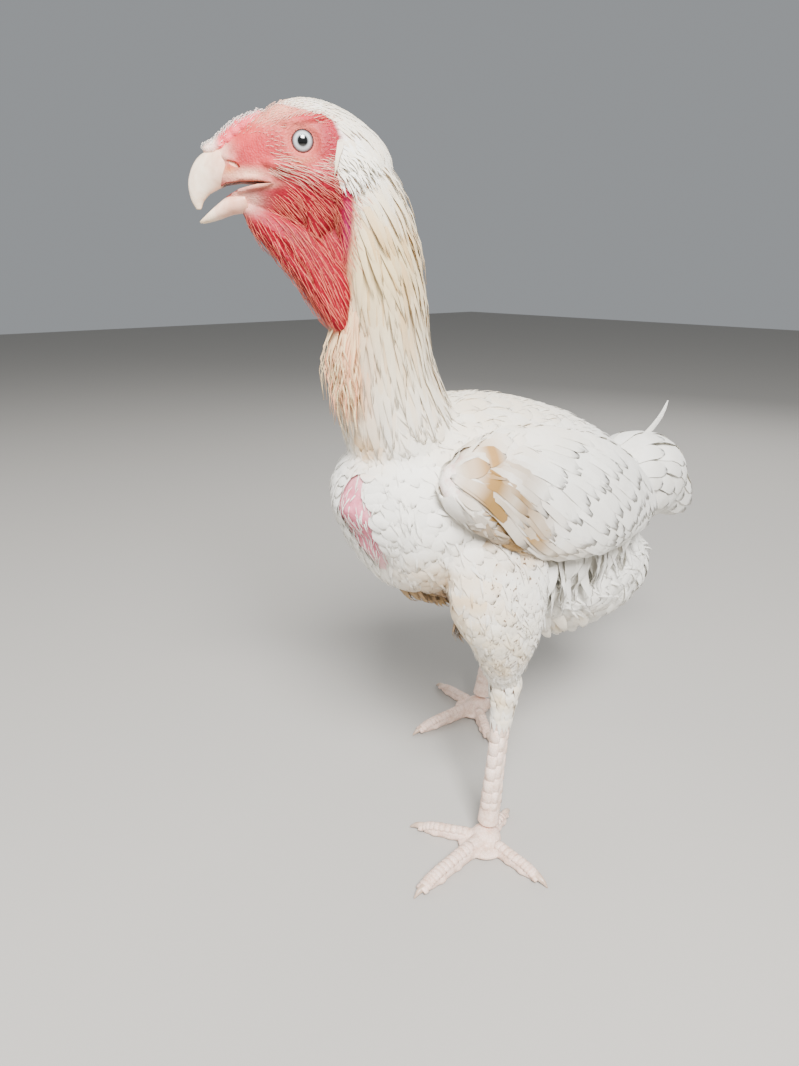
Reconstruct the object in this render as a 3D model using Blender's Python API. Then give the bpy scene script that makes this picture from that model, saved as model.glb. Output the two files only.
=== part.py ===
"""A white aseel chicken, life-size and still, standing with its left foot ahead of its right.

The body faces -Y, its left side is +X and the soles lie on z = 0. The head is turned to the bird's right.
Every form is drawn in one set of measures, taken from the floor under the breast. The parent empty
then sets the middle of the bird's own box over the origin.
"""

import math
import random

import bmesh
import bpy
import numpy as np
from mathutils import Matrix, Vector

# Where the parts meet
GAP = 0.0003
CLEARANCE = 0.00034

STAND_CENTRE = (-0.0295, 0.0366, 0.0)

# Trunk: distance back from the breast, back line, belly line and half width
TRUNK_ROWS = (
    (-0.133, 0.308, 0.287, 0.010),
    (-0.129, 0.328, 0.268, 0.030),
    (-0.114, 0.352, 0.248, 0.052),
    (-0.088, 0.368, 0.233, 0.066),
    (-0.050, 0.384, 0.218, 0.075),
    (0.000, 0.380, 0.208, 0.078),
    (0.050, 0.367, 0.205, 0.076),
    (0.100, 0.348, 0.212, 0.066),
    (0.140, 0.328, 0.228, 0.052),
    (0.172, 0.312, 0.246, 0.036),
    (0.190, 0.298, 0.264, 0.016),
)
TRUNK_WIDEST = 0.55

# Neck with the core of its hackle: centre, half width, reach ahead and reach behind
NECK_ROWS = (
    (0.000, -0.084, 0.336, 0.041, 0.036, 0.044),
    (0.000, -0.096, 0.366, 0.038, 0.034, 0.040),
    (0.002, -0.106, 0.393, 0.034, 0.032, 0.035),
    (0.006, -0.114, 0.420, 0.031, 0.030, 0.031),
    (0.014, -0.123, 0.452, 0.029, 0.028, 0.030),
    (0.022, -0.132, 0.482, 0.026, 0.026, 0.028),
    (0.027, -0.142, 0.506, 0.021, 0.022, 0.023),
    (0.026, -0.154, 0.525, 0.015, 0.018, 0.016),
    (0.024, -0.160, 0.538, 0.011, 0.012, 0.012),
)

# Head: turned about the upright, with its middle between the eyes
HEAD_TURN = math.radians(33)
HEAD_MIDDLE = (0.0084, -0.1702, 0.5356)
# Distance ahead of the eyes, height of the widest level, half width, reach up and reach down
HEAD_ROWS = (
    (0.0480, -0.0180, 0.0050, 0.010, 0.012),
    (0.0440, -0.0165, 0.0085, 0.015, 0.018),
    (0.0360, -0.0140, 0.0115, 0.018, 0.024),
    (0.0260, -0.0110, 0.0140, 0.0215, 0.032),
    (0.0140, -0.0070, 0.0165, 0.0245, 0.042),
    (0.0000, -0.0040, 0.0185, 0.0278, 0.049),
    (-0.0140, -0.0060, 0.0196, 0.0262, 0.052),
    (-0.0260, -0.0100, 0.0188, 0.0222, 0.050),
    (-0.0360, -0.0160, 0.0160, 0.0180, 0.042),
    (-0.0430, -0.0220, 0.0100, 0.0110, 0.028),
)
JAW_PINCH = 0.42

EYE_RADIUS = 0.0070
EYE_OUT = 0.0112
LID_MIDDLE = 0.0163
LID_RADIUS = 0.0062
LID_THICKNESS = 0.0017

# Paired swellings of the face: centre ahead, out and up, then their half measures
BROW = ((0.0010, 0.0150, 0.0092), (0.0150, 0.0042, 0.0034))
CHEEK = ((-0.0130, 0.0135, -0.0170), (0.0140, 0.0068, 0.0120))
NOSTRIL_LID = ((0.0400, 0.0080, -0.0085), (0.0052, 0.0030, 0.0026))
NOSTRIL_SLOT = ((0.0385, 0.0108, -0.0112), (0.0036, 0.0022, 0.0009))
NOSTRIL_SLANT = math.radians(24)
# Ear tuft: centre ahead, out and up, reach along the face and reach out from it
EAR_ROWS = (
    (-0.0225, 0.0165, -0.0045, 0.0035, 0.0030, 0.0030),
    (-0.0275, 0.0180, -0.0090, 0.0065, 0.0050, 0.0060),
    (-0.0330, 0.0178, -0.0145, 0.0065, 0.0050, 0.0060),
    (-0.0375, 0.0165, -0.0200, 0.0030, 0.0025, 0.0025),
)
EAR_TUFTS = ((50, 0.98), (92, 1.12), (134, 0.98))
EAR_TUFT_ROOT = 0.25
EAR_TUFT_WIDTH = 0.0055
EAR_TUFT_LIFT = 0.0012

# Parted bill: distance ahead, upper edge and lower edge of the gape, back to its corner
GAPE_ROWS = (
    (0.0180, -0.0205, -0.0209),
    (0.0260, -0.0196, -0.0214),
    (0.0360, -0.0194, -0.0236),
    (0.0440, -0.0208, -0.0272),
    (0.0530, -0.0262, -0.0345),
    (0.0600, -0.0350, -0.0405),
    (0.0660, -0.0372, -0.0412),
)
GAPE_HALF_WIDTH = 0.030

# Comb: front and back of its ridge as distance ahead and level, the base's middle and half measures
COMB_FRONT = (0.0500, -0.0010)
COMB_BACK = (0.0235, 0.0150)
COMB_BASE = ((0.0360, 0.0, 0.0070), (0.0190, 0.0062, 0.0048))
# Rows of points: distance out, count, size and drop below the ridge
COMB_POINTS = ((0.0, 5, 0.0043, 0.0), (0.0046, 4, 0.0033, 0.0024))
COMB_END_SHARE = 0.82
COMB_MIDDLE_SHARE = 0.36
COMB_WAVE = 0.0008

# Throat: loose skin below the jaw, down the front of the neck
THROAT_ROWS = (
    (0.0330, -0.0330, 0.0060, 0.004, 0.006),
    (0.0250, -0.0400, 0.0090, 0.008, 0.008),
    (0.0080, -0.0520, 0.0110, 0.012, 0.014),
    (-0.0040, -0.0660, 0.0105, 0.012, 0.016),
    (-0.0120, -0.0800, 0.0090, 0.011, 0.015),
    (-0.0180, -0.0940, 0.0060, 0.008, 0.007),
    (-0.0210, -0.1010, 0.0030, 0.004, 0.003),
)

# Legs: centre, half width, reach behind and reach ahead, from the hip to the hock
THIGH_ROWS = {
    "left": (
        (0.050, -0.030, 0.300, 0.022, 0.030, 0.040),
        (0.058, -0.040, 0.270, 0.030, 0.036, 0.050),
        (0.062, -0.040, 0.240, 0.030, 0.035, 0.050),
        (0.061, -0.034, 0.210, 0.025, 0.027, 0.036),
        (0.055, -0.028, 0.184, 0.019, 0.020, 0.026),
        (0.050, -0.024, 0.166, 0.0150, 0.015, 0.018),
        (0.048, -0.021, 0.158, 0.0110, 0.0115, 0.013),
    ),
    "right": (
        (-0.050, 0.020, 0.295, 0.022, 0.036, 0.036),
        (-0.062, 0.034, 0.262, 0.030, 0.044, 0.040),
        (-0.074, 0.056, 0.235, 0.029, 0.038, 0.034),
        (-0.084, 0.086, 0.207, 0.024, 0.030, 0.028),
        (-0.091, 0.114, 0.181, 0.019, 0.021, 0.022),
        (-0.094, 0.129, 0.164, 0.0150, 0.0155, 0.017),
        (-0.095, 0.134, 0.157, 0.0110, 0.0120, 0.012),
    ),
}
HOCK = {"left": (0.048, -0.019, 0.152), "right": (-0.0950, 0.1360, 0.152)}
ANKLE = {"left": (0.0455, -0.0300, 0.0200), "right": (-0.1050, 0.1160, 0.0200)}
SHANK_HALF_WIDTH = 0.0076
SHANK_HALF_DEPTH = 0.0084

# Toes: heading from straight ahead, positive to the outer side, and length with the claw
TOE_PLAN = {
    "inner": (-58.0, 0.068),
    "middle": (5.0, 0.088),
    "outer": (92.0, 0.069),
    "hind": (197.0, 0.052),
}
TOE_RADII = {"inner": 0.0066, "middle": 0.0076, "outer": 0.0066, "hind": 0.0060}
TOE_OUTLINE = ((0.0, 1.0), (0.25, 0.97), (0.5, 0.90), (0.75, 0.84), (0.93, 0.70), (1.0, 0.46))
TOE_SCUTES = 2
WEB_REACH = 0.0145
WEB_HALF = (0.0085, 0.0125, 0.0036)
CLAW_LENGTH = 0.014
# Claw: share of its length, radius and height of its middle over the floor
CLAW_OUTLINE = (
    (0.0, 0.0031, 0.0046),
    (0.3, 0.0029, 0.0050),
    (0.6, 0.0022, 0.0042),
    (0.85, 0.0012, 0.0024),
    (1.0, 0.0004, 0.0009),
)
# Shank: share of the way down, half width and half depth
SHANK_ROWS = (
    (-0.06, 0.0062, 0.0072),
    (0.0, 0.0096, 0.0112),
    (0.08, 0.0092, 0.0106),
    (0.2, SHANK_HALF_WIDTH, SHANK_HALF_DEPTH),
    (0.5, 0.0073, 0.0080),
    (0.8, 0.0084, 0.0088),
    (1.0, 0.0100, 0.0096),
)
SHANK_SCUTES = 9
SCUTE_SHARE = 0.064
SCUTE_LIFT = 0.0006
SCUTE_THICKNESS = 0.0011
SCUTE_BOW = 0.22

# Feathers: how thick a vane is and how deep its root is sunk
FLIGHT_THICKNESS = 0.0009
COVERT_THICKNESS = 0.0007
ROOT_DEPTH = 0.0022
VANE_OUTLINE = ((0.0, 0.45), (0.38, 1.0), (0.78, 0.92), (1.0, 0.25))
VANE_CAMBER = 0.07
VANE_TILT = math.radians(-8)
FULL_SHARE = 0.86

# Left wing: centre of the folded wing from the shoulder back, half thickness, reach up and down
WING_ROWS = (
    (0.056, -0.102, 0.342, 0.005, 0.008, 0.010),
    (0.064, -0.092, 0.338, 0.012, 0.020, 0.024),
    (0.068, -0.065, 0.332, 0.017, 0.034, 0.038),
    (0.070, -0.030, 0.324, 0.019, 0.042, 0.048),
    (0.071, 0.010, 0.315, 0.019, 0.044, 0.050),
    (0.069, 0.050, 0.306, 0.018, 0.042, 0.048),
    (0.064, 0.085, 0.298, 0.016, 0.036, 0.042),
    (0.058, 0.112, 0.290, 0.012, 0.028, 0.034),
    (0.052, 0.128, 0.284, 0.005, 0.012, 0.018),
)
WING_LEAN = math.radians(18)
WING_SHIFT = {"left": (0.0, 0.0, 0.0), "right": (0.007, 0.014, -0.006)}
# Tiers from the deepest out: count, first and last root, first and last tip as share back and
# angle up from the outer side, width, lift of the tips, and points across a vane
WING_TIERS = (
    (3, (0.46, -62), (0.56, -40), (0.98, -66), (1.04, -30), 0.020, 0.0010, 2),
    (5, (0.26, -48), (0.66, 48), (0.60, -98), (1.06, -22), 0.031, 0.0024, 3),
    (4, (0.16, -30), (0.50, 58), (0.45, -84), (0.90, 14), 0.031, 0.0038, 2),
    (3, (0.09, -14), (0.32, 64), (0.31, -66), (0.70, 34), 0.031, 0.0050, 2),
    (3, (0.04, 4), (0.16, 62), (0.19, -40), (0.46, 48), 0.023, 0.0058, 2),
)

# Hackle tiers from the base up: count, share up the neck of roots and tips, first and last
# angle from the left side, positive towards the throat, width and lift of the tips
HACKLE_TIERS = (
    (8, 0.36, 0.14, 70, -250, 0.0235, 0.0034),
    (7, 0.52, 0.28, 58, -238, 0.0220, 0.0040),
    (6, 0.68, 0.44, 44, -224, 0.0200, 0.0036),
    (5, 0.84, 0.60, 16, -196, 0.0170, 0.0028),
)

# Abdominal fluff behind the thighs: distance back, top, bottom and half width
FLUFF_ROWS = (
    (0.015, 0.225, 0.197, 0.020),
    (0.045, 0.238, 0.180, 0.045),
    (0.090, 0.244, 0.171, 0.056),
    (0.130, 0.246, 0.171, 0.052),
    (0.168, 0.246, 0.180, 0.042),
    (0.190, 0.238, 0.192, 0.024),
)

FLUFF_LOCKS = 9
FLUFF_TIERS = ((0.30, 0.72), (0.54, 0.98))
FLUFF_ANGLES = (-30, -150)
FLUFF_HANG = 0.35
FLUFF_WIDTH = 0.024
FLUFF_LIFT = 0.0065

# Tail: distance back, level, half width, reach up and reach down
TAIL_ROWS = (
    (0.150, 0.285, 0.020, 0.016, 0.022),
    (0.180, 0.287, 0.026, 0.025, 0.034),
    (0.210, 0.284, 0.029, 0.030, 0.040),
    (0.238, 0.275, 0.027, 0.031, 0.040),
    (0.260, 0.264, 0.021, 0.026, 0.033),
    (0.274, 0.255, 0.009, 0.012, 0.016),
)
# Tail tiers: count, roots and tips as share back, first and last angle, droop of the tips in
# degrees, width, lift and points across
TAIL_TIERS = (
    (6, 0.42, 1.10, -58, 238, 8, 0.030, 0.0030, 2),
    (5, 0.26, 0.86, -34, 214, 14, 0.029, 0.0052, 2),
    (4, 0.12, 0.58, -4, 184, 12, 0.025, 0.0064, 2),
)
SICKLE_WIDTHS = (0.007, 0.0065, 0.005, 0.0012)
SICKLE = ((0.000, 0.196, 0.306), (0.000, 0.226, 0.317), (-0.001, 0.247, 0.328), (-0.002, 0.262, 0.343))

RING_POINTS = 16
HEAD_POINTS = 20
LIMB_POINTS = 12
SIDES = {"left": 1, "right": -1}
COARSE_FLAT = math.radians(9)
FINE_FLAT = math.radians(1.5)


def clear_scene():
    for item in list(bpy.data.objects):
        bpy.data.objects.remove(item, do_unlink=True)


def finish_material(name, colour, roughness):
    finish = bpy.data.materials.new(name)
    finish.use_nodes = True
    shader = finish.node_tree.nodes["Principled BSDF"]
    shader.inputs["Base Color"].default_value = (*colour, 1.0)
    shader.inputs["Roughness"].default_value = roughness
    shader.inputs["Metallic"].default_value = 0.0
    return finish


def object_from(name, mesh, finish):
    """A shaded object from a bmesh, linked to the bird's collection."""
    mesh.normal_update()
    bmesh.ops.recalc_face_normals(mesh, faces=mesh.faces)
    data = bpy.data.meshes.new(name)
    mesh.to_mesh(data)
    mesh.free()
    data.materials.append(finish)
    data.shade_smooth()
    made = bpy.data.objects.new(name, data)
    BIRD.objects.link(made)
    return made


def smoothed(rows, steps):
    """The rows with steps more between each two, on a smooth curve through them all."""
    known = np.array(rows, dtype=float)
    padded = np.vstack((2 * known[0] - known[1], known, 2 * known[-1] - known[-2]))
    drawn = []
    for index in range(1, len(padded) - 2):
        before, start, end, after = padded[index - 1 : index + 3]
        for step in range(steps):
            share = step / steps
            square = share * share
            cube = square * share
            drawn.append(
                0.5
                * (
                    2 * start
                    + (end - before) * share
                    + (2 * before - 5 * start + 4 * end - after) * square
                    + (3 * start - before - 3 * end + after) * cube
                )
            )
    drawn.append(known[-1])
    return drawn


def ring(centre, side, rise, half_width, up, down, count, pinch=0.0):
    """One outline across a form, narrower below its middle by the share pinch."""
    points = []
    for step in range(count):
        angle = math.tau * step / count
        across = half_width * math.cos(angle)
        lift = math.sin(angle)
        reach = up if lift > 0 else down
        if lift < 0:
            across *= 1.0 - pinch * lift * lift
        points.append(centre + side * across + rise * (lift * reach))
    return points


def loft(outlines):
    """A closed mesh through outlines of the same number of points."""
    mesh = bmesh.new()
    rows = [[mesh.verts.new(point) for point in outline] for outline in outlines]
    count = len(rows[0])
    for lower, upper in zip(rows, rows[1:]):
        for index in range(count):
            after = (index + 1) % count
            mesh.faces.new((lower[index], lower[after], upper[after], upper[index]))
    mesh.faces.new(list(reversed(rows[0])))
    mesh.faces.new(rows[-1])
    bmesh.ops.triangulate(mesh, faces=mesh.faces)
    return mesh


def swept(rows, sideways, steps, count, pinch=0.0):
    """Outlines along a path of rows: centre, half width, reach to one face and reach to the other."""
    outlines = []
    for centre, _, side, rise, half, up, down in form_rows(rows, sideways, steps):
        outlines.append(ring(centre, side, rise, half, up, down, count, pinch))
    return outlines


def form_rows(rows, sideways, steps):
    """Frames along a swept form: centre, heading, side, rise, half width and reach up and down."""
    drawn = smoothed(rows, steps)
    centres = [Vector(row[:3]) for row in drawn]
    frames = []
    for index, row in enumerate(drawn):
        first = centres[max(index - 1, 0)]
        last = centres[min(index + 1, len(drawn) - 1)]
        along = (last - first).normalized()
        side = (sideways - along * sideways.dot(along)).normalized()
        frames.append((centres[index], along, side, side.cross(along), row[3], row[4], row[5]))
    return frames


def on_form(frames, share, degrees, lift):
    """A point off a form's surface and the way out of it. Past its last full frame it runs straight on."""
    full = FULL_SHARE * (len(frames) - 1)
    place = min(max(share, 0.0) * (len(frames) - 1), full)
    index = min(int(place), len(frames) - 2)
    blend = place - index
    parts = [first.lerp(last, blend) for first, last in zip(frames[index][:4], frames[index + 1][:4])]
    sizes = [first + (last - first) * blend for first, last in zip(frames[index][4:], frames[index + 1][4:])]
    centre, along, side, rise = parts
    half, up, down = sizes
    beyond = max(share - FULL_SHARE, 0.0)
    length = (frames[-1][0] - frames[0][0]).length
    shrink = 1.0 - beyond
    angle = math.radians(degrees)
    reach = up if math.sin(angle) > 0 else down
    out = (side * (math.cos(angle) / half) + rise * (math.sin(angle) / reach)).normalized()
    ground = centre + along * (beyond * length)
    point = ground + (side * (math.cos(angle) * half) + rise * (math.sin(angle) * reach)) * shrink
    return point + out * lift, out


def vane(points, outs, widths, thickness, across=2, camber=0.0):
    """A thin closed blade along points, with the same triangles on both faces."""
    mesh = bmesh.new()
    rows = []
    for index, point in enumerate(points):
        ahead = points[min(index + 1, len(points) - 1)] - points[max(index - 1, 0)]
        side = outs[index].cross(ahead).normalized()
        out = ahead.cross(side).normalized()
        half = widths[index] / 2
        shares = (-1.0, 1.0) if across == 2 else (-1.0, 0.0, 1.0)
        faces = []
        for depth in (0.5, -0.5):
            for share in shares:
                bow = camber * (1.0 - abs(share)) * widths[index]
                faces.append(mesh.verts.new(point + side * (share * half) + out * (bow + depth * thickness)))
        rows.append(faces)
    for near, far in zip(rows, rows[1:]):
        for index in range(across - 1):
            for start in (0, across):
                corner = start + index
                mesh.faces.new((near[corner], near[corner + 1], far[corner + 1]))
                mesh.faces.new((near[corner], far[corner + 1], far[corner]))
        for edge in (0, across - 1):
            mesh.faces.new((near[edge], near[edge + across], far[edge + across]))
            mesh.faces.new((near[edge], far[edge + across], far[edge]))
    for row in (rows[0], rows[-1]):
        for index in range(across - 1):
            mesh.faces.new((row[index], row[index + 1], row[index + 1 + across]))
            mesh.faces.new((row[index], row[index + 1 + across], row[index + across]))
    return mesh


def feather(frames, root, tip, width, lift, thickness, finish, across=2, droop=1.5, place=None):
    """A vane over a form from root to tip, each a share along it and an angle round it.

    It is tilted about its length so that each vane of a tier lies over the next.
    """
    points = []
    outs = []
    widths = []
    for share, breadth in VANE_OUTLINE:
        along = root[0] + (tip[0] - root[0]) * share**0.9
        around = root[1] + (tip[1] - root[1]) * share**droop
        rise = -ROOT_DEPTH + (lift + ROOT_DEPTH) * min(1.0, share * 1.6)
        point, out = on_form(frames, along, around, rise)
        points.append(point)
        outs.append(out)
        widths.append(width * breadth)
    tilt = Matrix.Rotation(VANE_TILT, 3, (points[-1] - points[0]).normalized())
    outs = [tilt @ out for out in outs]
    mesh = vane(points, outs, widths, thickness, across, VANE_CAMBER if across > 2 else 0.0)
    if place is not None:
        mesh.transform(place)
    return object_from("feather", mesh, finish)


def spread(first, last, count, index):
    """The value for one of count things spread evenly from first to last."""
    share = index / max(count - 1, 1)
    return first + (last - first) * share


def head_frame():
    """Turns measures ahead, to the left and up from between the eyes into the bird's own."""
    ahead = Vector((-math.sin(HEAD_TURN), -math.cos(HEAD_TURN), 0.0))
    left = Vector((math.cos(HEAD_TURN), -math.sin(HEAD_TURN), 0.0))
    up = Vector((0.0, 0.0, 1.0))
    frame = Matrix((ahead, left, up)).transposed().to_4x4()
    frame.translation = Vector(HEAD_MIDDLE)
    return frame


def inflated(source):
    """A copy that stands the clearance outside its source, to cut a neighbour back with."""
    copy = bpy.data.objects.new(source.name + "_clearance", source.data.copy())
    BIRD.objects.link(copy)
    swell = copy.modifiers.new("swell", "DISPLACE")
    swell.direction = "NORMAL"
    swell.strength = CLEARANCE
    swell.mid_level = 0.0
    return copy


def lowered(source):
    """A copy that stands the clearance below its source, to clear a keen edge such as the chin's."""
    copy = bpy.data.objects.new(source.name + "_lowered", source.data.copy())
    BIRD.objects.link(copy)
    copy.location = (0, 0, -CLEARANCE)
    return copy


def boolean(target, others, operation, solver):
    """Joins the closed others to the target, or cuts them from it, and removes them."""
    group = bpy.data.collections.new("operands")
    for other in others:
        group.objects.link(other)
    change = target.modifiers.new("change", "BOOLEAN")
    change.operation = operation
    change.operand_type = "COLLECTION"
    change.collection = group
    change.solver = solver
    bpy.context.view_layer.objects.active = target
    bpy.ops.object.modifier_apply(modifier=change.name)
    for other in others:
        bpy.data.objects.remove(other, do_unlink=True)
    bpy.data.collections.remove(group)


def keep_largest(target, flat=FINE_FLAT):
    """Keeps only the largest closed surface of a mesh, its flat triangles merged as far as it stays closed."""
    mesh = bmesh.new()
    mesh.from_mesh(target.data)
    seen = set()
    pieces = []
    for start in mesh.faces:
        if start in seen:
            continue
        piece = []
        waiting = [start]
        seen.add(start)
        while waiting:
            face = waiting.pop()
            piece.append(face)
            for edge in face.edges:
                linked = edge.link_faces if len(edge.link_faces) == 2 else ()
                for other in linked:
                    if other not in seen:
                        seen.add(other)
                        waiting.append(other)
        pieces.append(piece)
    pieces.sort(key=len, reverse=True)
    for piece in pieces[1:]:
        bmesh.ops.delete(mesh, geom=piece, context="FACES")
    for angle in (flat, flat / 4, 0.0):
        lighter = mesh.copy()
        bmesh.ops.dissolve_limit(lighter, angle_limit=angle, verts=lighter.verts, edges=lighter.edges)
        bmesh.ops.triangulate(lighter, faces=lighter.faces)
        closed = all(edge.is_manifold for edge in lighter.edges)
        if closed:
            lighter.to_mesh(target.data)
        lighter.free()
        if closed:
            break
    mesh.free()


def join(target, pieces, solver="EXACT"):
    boolean(target, pieces, "UNION", solver)
    keep_largest(target, COARSE_FLAT)


def cut_clear(target, neighbours, solver="EXACT"):
    boolean(target, [inflated(neighbour) for neighbour in neighbours], "DIFFERENCE", solver)
    keep_largest(target)


def ball(name, centre, radii, finish, segments=12, rings=8, turn=None):
    """An egg-shaped closed mesh from a sphere."""
    mesh = bmesh.new()
    bmesh.ops.create_uvsphere(mesh, u_segments=segments, v_segments=rings, radius=1.0)
    place = Matrix.Translation(centre)
    if turn is not None:
        place = place @ turn
    place = place @ Matrix.Diagonal((*radii, 1.0))
    mesh.transform(place)
    bmesh.ops.triangulate(mesh, faces=mesh.faces)
    return object_from(name, mesh, finish)


def make_torso():
    rows = []
    for back, top, bottom, half in TRUNK_ROWS:
        middle = bottom + (top - bottom) * TRUNK_WIDEST
        rows.append((0.0, back, middle, half, top - middle, middle - bottom))
    outlines = swept(rows, Vector((1, 0, 0)), 2, RING_POINTS)
    return object_from("torso", loft(outlines), PLUMAGE)


def make_neck():
    sideways = Vector((1, 0, 0))
    neck = object_from("neck", loft(swept(NECK_ROWS, sideways, 1, 14)), HACKLE)
    frames = form_rows(NECK_ROWS, sideways, 4)
    vanes = []
    for count, root, tip, first, last, width, lift in HACKLE_TIERS:
        for index in range(count):
            angle = spread(first, last, count, index) + random.uniform(-4, 4)
            sway = random.uniform(-5, 5)
            reach = tip + random.uniform(-0.025, 0.02)
            ends = ((root, angle), (reach, angle + sway))
            vanes.append(feather(frames, *ends, width, lift, COVERT_THICKNESS, HACKLE))
    join(neck, vanes, "MANIFOLD")
    return neck


def paired_ball(frame, measures, side, finish, slant=0.0, segments=10, rings=6):
    """A swelling of the head on one side, slanted up towards the front by an angle."""
    (ahead, out, up), radii = measures
    centre = frame @ Vector((ahead, out * SIDES[side], up))
    turn = frame.to_3x3().to_4x4() @ Matrix.Rotation(-slant, 4, "Y")
    return ball("swelling", centre, radii, finish, segments, rings, turn)


def make_lid(frame, side):
    """The rim of the lids round one eye."""
    bpy.ops.mesh.primitive_torus_add(
        major_segments=12, minor_segments=5, major_radius=LID_RADIUS, minor_radius=LID_THICKNESS
    )
    lid = bpy.context.active_object
    turn = Matrix.Rotation(math.pi / 2, 4, "X")
    place = frame @ Matrix.Translation((0.0, LID_MIDDLE * SIDES[side], 0.0)) @ turn
    lid.data.transform(place)
    return lid


def make_gape(frame):
    """The space between the parted halves of the bill, to be cut away."""
    outlines = []
    for ahead, above, below in GAPE_ROWS:
        corners = ((-1, below), (1, below), (1, above), (-1, above))
        outlines.append([Vector((ahead, GAPE_HALF_WIDTH * side, level)) for side, level in corners])
    mesh = loft(outlines)
    mesh.transform(frame)
    gape = object_from("gape", mesh, FACE_SKIN)
    gape.hide_render = True
    gape.display_type = "WIRE"
    return gape


def make_head(frame):
    rows = [(ahead, 0.0, level, half, up, down) for ahead, level, half, up, down in HEAD_ROWS]
    outlines = swept(rows, Vector((0, 1, 0)), 2, HEAD_POINTS, JAW_PINCH)
    mesh = loft(outlines)
    mesh.transform(frame)
    head = object_from("head", mesh, FACE_SKIN)
    pieces = []
    for side in SIDES:
        pieces.append(paired_ball(frame, BROW, side, FACE_SKIN, math.radians(-14)))
        pieces.append(paired_ball(frame, CHEEK, side, FACE_SKIN))
        pieces.append(paired_ball(frame, NOSTRIL_LID, side, FACE_SKIN, NOSTRIL_SLANT))
        pieces.append(make_lid(frame, side))
    join(head, pieces, "MANIFOLD")
    slots = [paired_ball(frame, NOSTRIL_SLOT, side, FACE_SKIN, NOSTRIL_SLANT, 10, 6) for side in SIDES]
    boolean(head, slots, "DIFFERENCE", "MANIFOLD")
    keep_largest(head)
    return head


def make_throat(frame):
    """Loose throat skin with a raised fold down each side."""
    rows = [(ahead, 0.0, level, half, near, far) for ahead, level, half, near, far in THROAT_ROWS]
    sideways = Vector((0, -1, 0))
    mesh = loft(swept(rows, sideways, 2, 12))
    mesh.transform(frame)
    throat = object_from("throat", mesh, FACE_SKIN)
    frames = form_rows(rows, sideways, 2)
    folds = []
    for angle in (22, 50, 130, 158):
        path = []
        for share in (0.16, 0.34, 0.52, 0.70, 0.84):
            point, _ = on_form(frames, share, angle + 10 * math.sin(share * 9), 0.0)
            size = 0.0021 * math.sin(math.pi * share) + 0.0004
            path.append((*point, size, size, size))
        fold = loft(swept(path, sideways, 1, 6))
        fold.transform(frame)
        folds.append(object_from("fold", fold, FACE_SKIN))
    join(throat, folds)
    return throat


def make_thigh(side):
    outlines = swept(THIGH_ROWS[side], Vector((1, 0, 0)), 2, 16)
    return object_from("thigh_" + side, loft(outlines), PLUMAGE)


def make_shank(side):
    """A shank from the hock down, with a row of plates raised down its front."""
    top = Vector(HOCK[side])
    bottom = Vector(ANKLE[side])
    rows = []
    for share, width, depth in SHANK_ROWS:
        centre = top.lerp(bottom, share)
        rows.append((*centre, width, depth, depth))
    sideways = Vector((1, 0, 0))
    shank = object_from("shank_" + side, loft(swept(rows, sideways, 2, LIMB_POINTS)), LEG_SCALES)
    frames = form_rows(rows, sideways, 4)
    plates = []
    for index in range(SHANK_SCUTES):
        start = spread(0.16, 0.80, SHANK_SCUTES, index)
        plates.append(scute(frames, start, start + SCUTE_SHARE, -90, 1.25 * SHANK_HALF_WIDTH))
    join(shank, plates)
    return shank


def scute(frames, start, end, angle, width):
    """A plate raised on a limb, bowed to its roundness, its lower edge standing out most."""
    points = []
    outs = []
    for share, lift in ((start, 0.0), (end, SCUTE_LIFT)):
        point, out = on_form(frames, share, angle, lift - SCUTE_BOW * width)
        points.append(point)
        outs.append(out)
    mesh = vane(points, outs, (width, width * 0.92), SCUTE_THICKNESS, 3, SCUTE_BOW)
    return object_from("scute", mesh, LEG_SCALES)


def toe_line(side, digit):
    """Where a toe starts, its heading on the floor and its length without the claw."""
    turn, length = TOE_PLAN[digit]
    outward = 1 if side == "left" else -1
    angle = math.radians(turn) * outward
    heading = Vector((math.sin(angle), -math.cos(angle), 0.0))
    start = Vector((ANKLE[side][0], ANKLE[side][1], 0.0)) + Vector((0.002 * outward, -0.006, 0.0))
    return start, heading, length - CLAW_LENGTH


def make_foot(side):
    """The palm and four toes with plates raised along the top of each."""
    palm = Vector((ANKLE[side][0] + 0.0015 * SIDES[side], ANKLE[side][1] - 0.004, 0.0070))
    foot = ball("foot_" + side, palm, (0.0135, 0.0130, 0.0100), LEG_SCALES, 12, 6)
    pieces = []
    for digit, radius in TOE_RADII.items():
        start, heading, length = toe_line(side, digit)
        rows = []
        for share, swell in TOE_OUTLINE:
            size = radius * swell
            centre = start + heading * (length * share)
            rows.append((centre.x, centre.y, size * 0.86, size, size, size))
        sideways = heading.cross(Vector((0, 0, 1)))
        pieces.append(object_from("toe", loft(swept(rows, sideways, 1, 8)), LEG_SCALES))
        frames = form_rows(rows, sideways, 3)
        for index in range(TOE_SCUTES):
            first = spread(0.26, 0.66, TOE_SCUTES, index)
            pieces.append(scute(frames, first, first + 0.17, 90, 1.15 * radius))
    for first, last in (("inner", "middle"), ("middle", "outer")):
        pieces.append(make_web(side, first, last))
    join(foot, pieces)
    return foot


def make_web(side, first, last):
    """The skin between two toes near their roots."""
    start, one, _ = toe_line(side, first)
    _, two, _ = toe_line(side, last)
    middle = (one + two).normalized()
    centre = start + middle * WEB_REACH
    turn = Matrix.Rotation(math.atan2(middle.y, middle.x), 4, "Z")
    return ball("web", Vector((centre.x, centre.y, 0.0046)), WEB_HALF, LEG_SCALES, 8, 4, turn)


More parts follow.
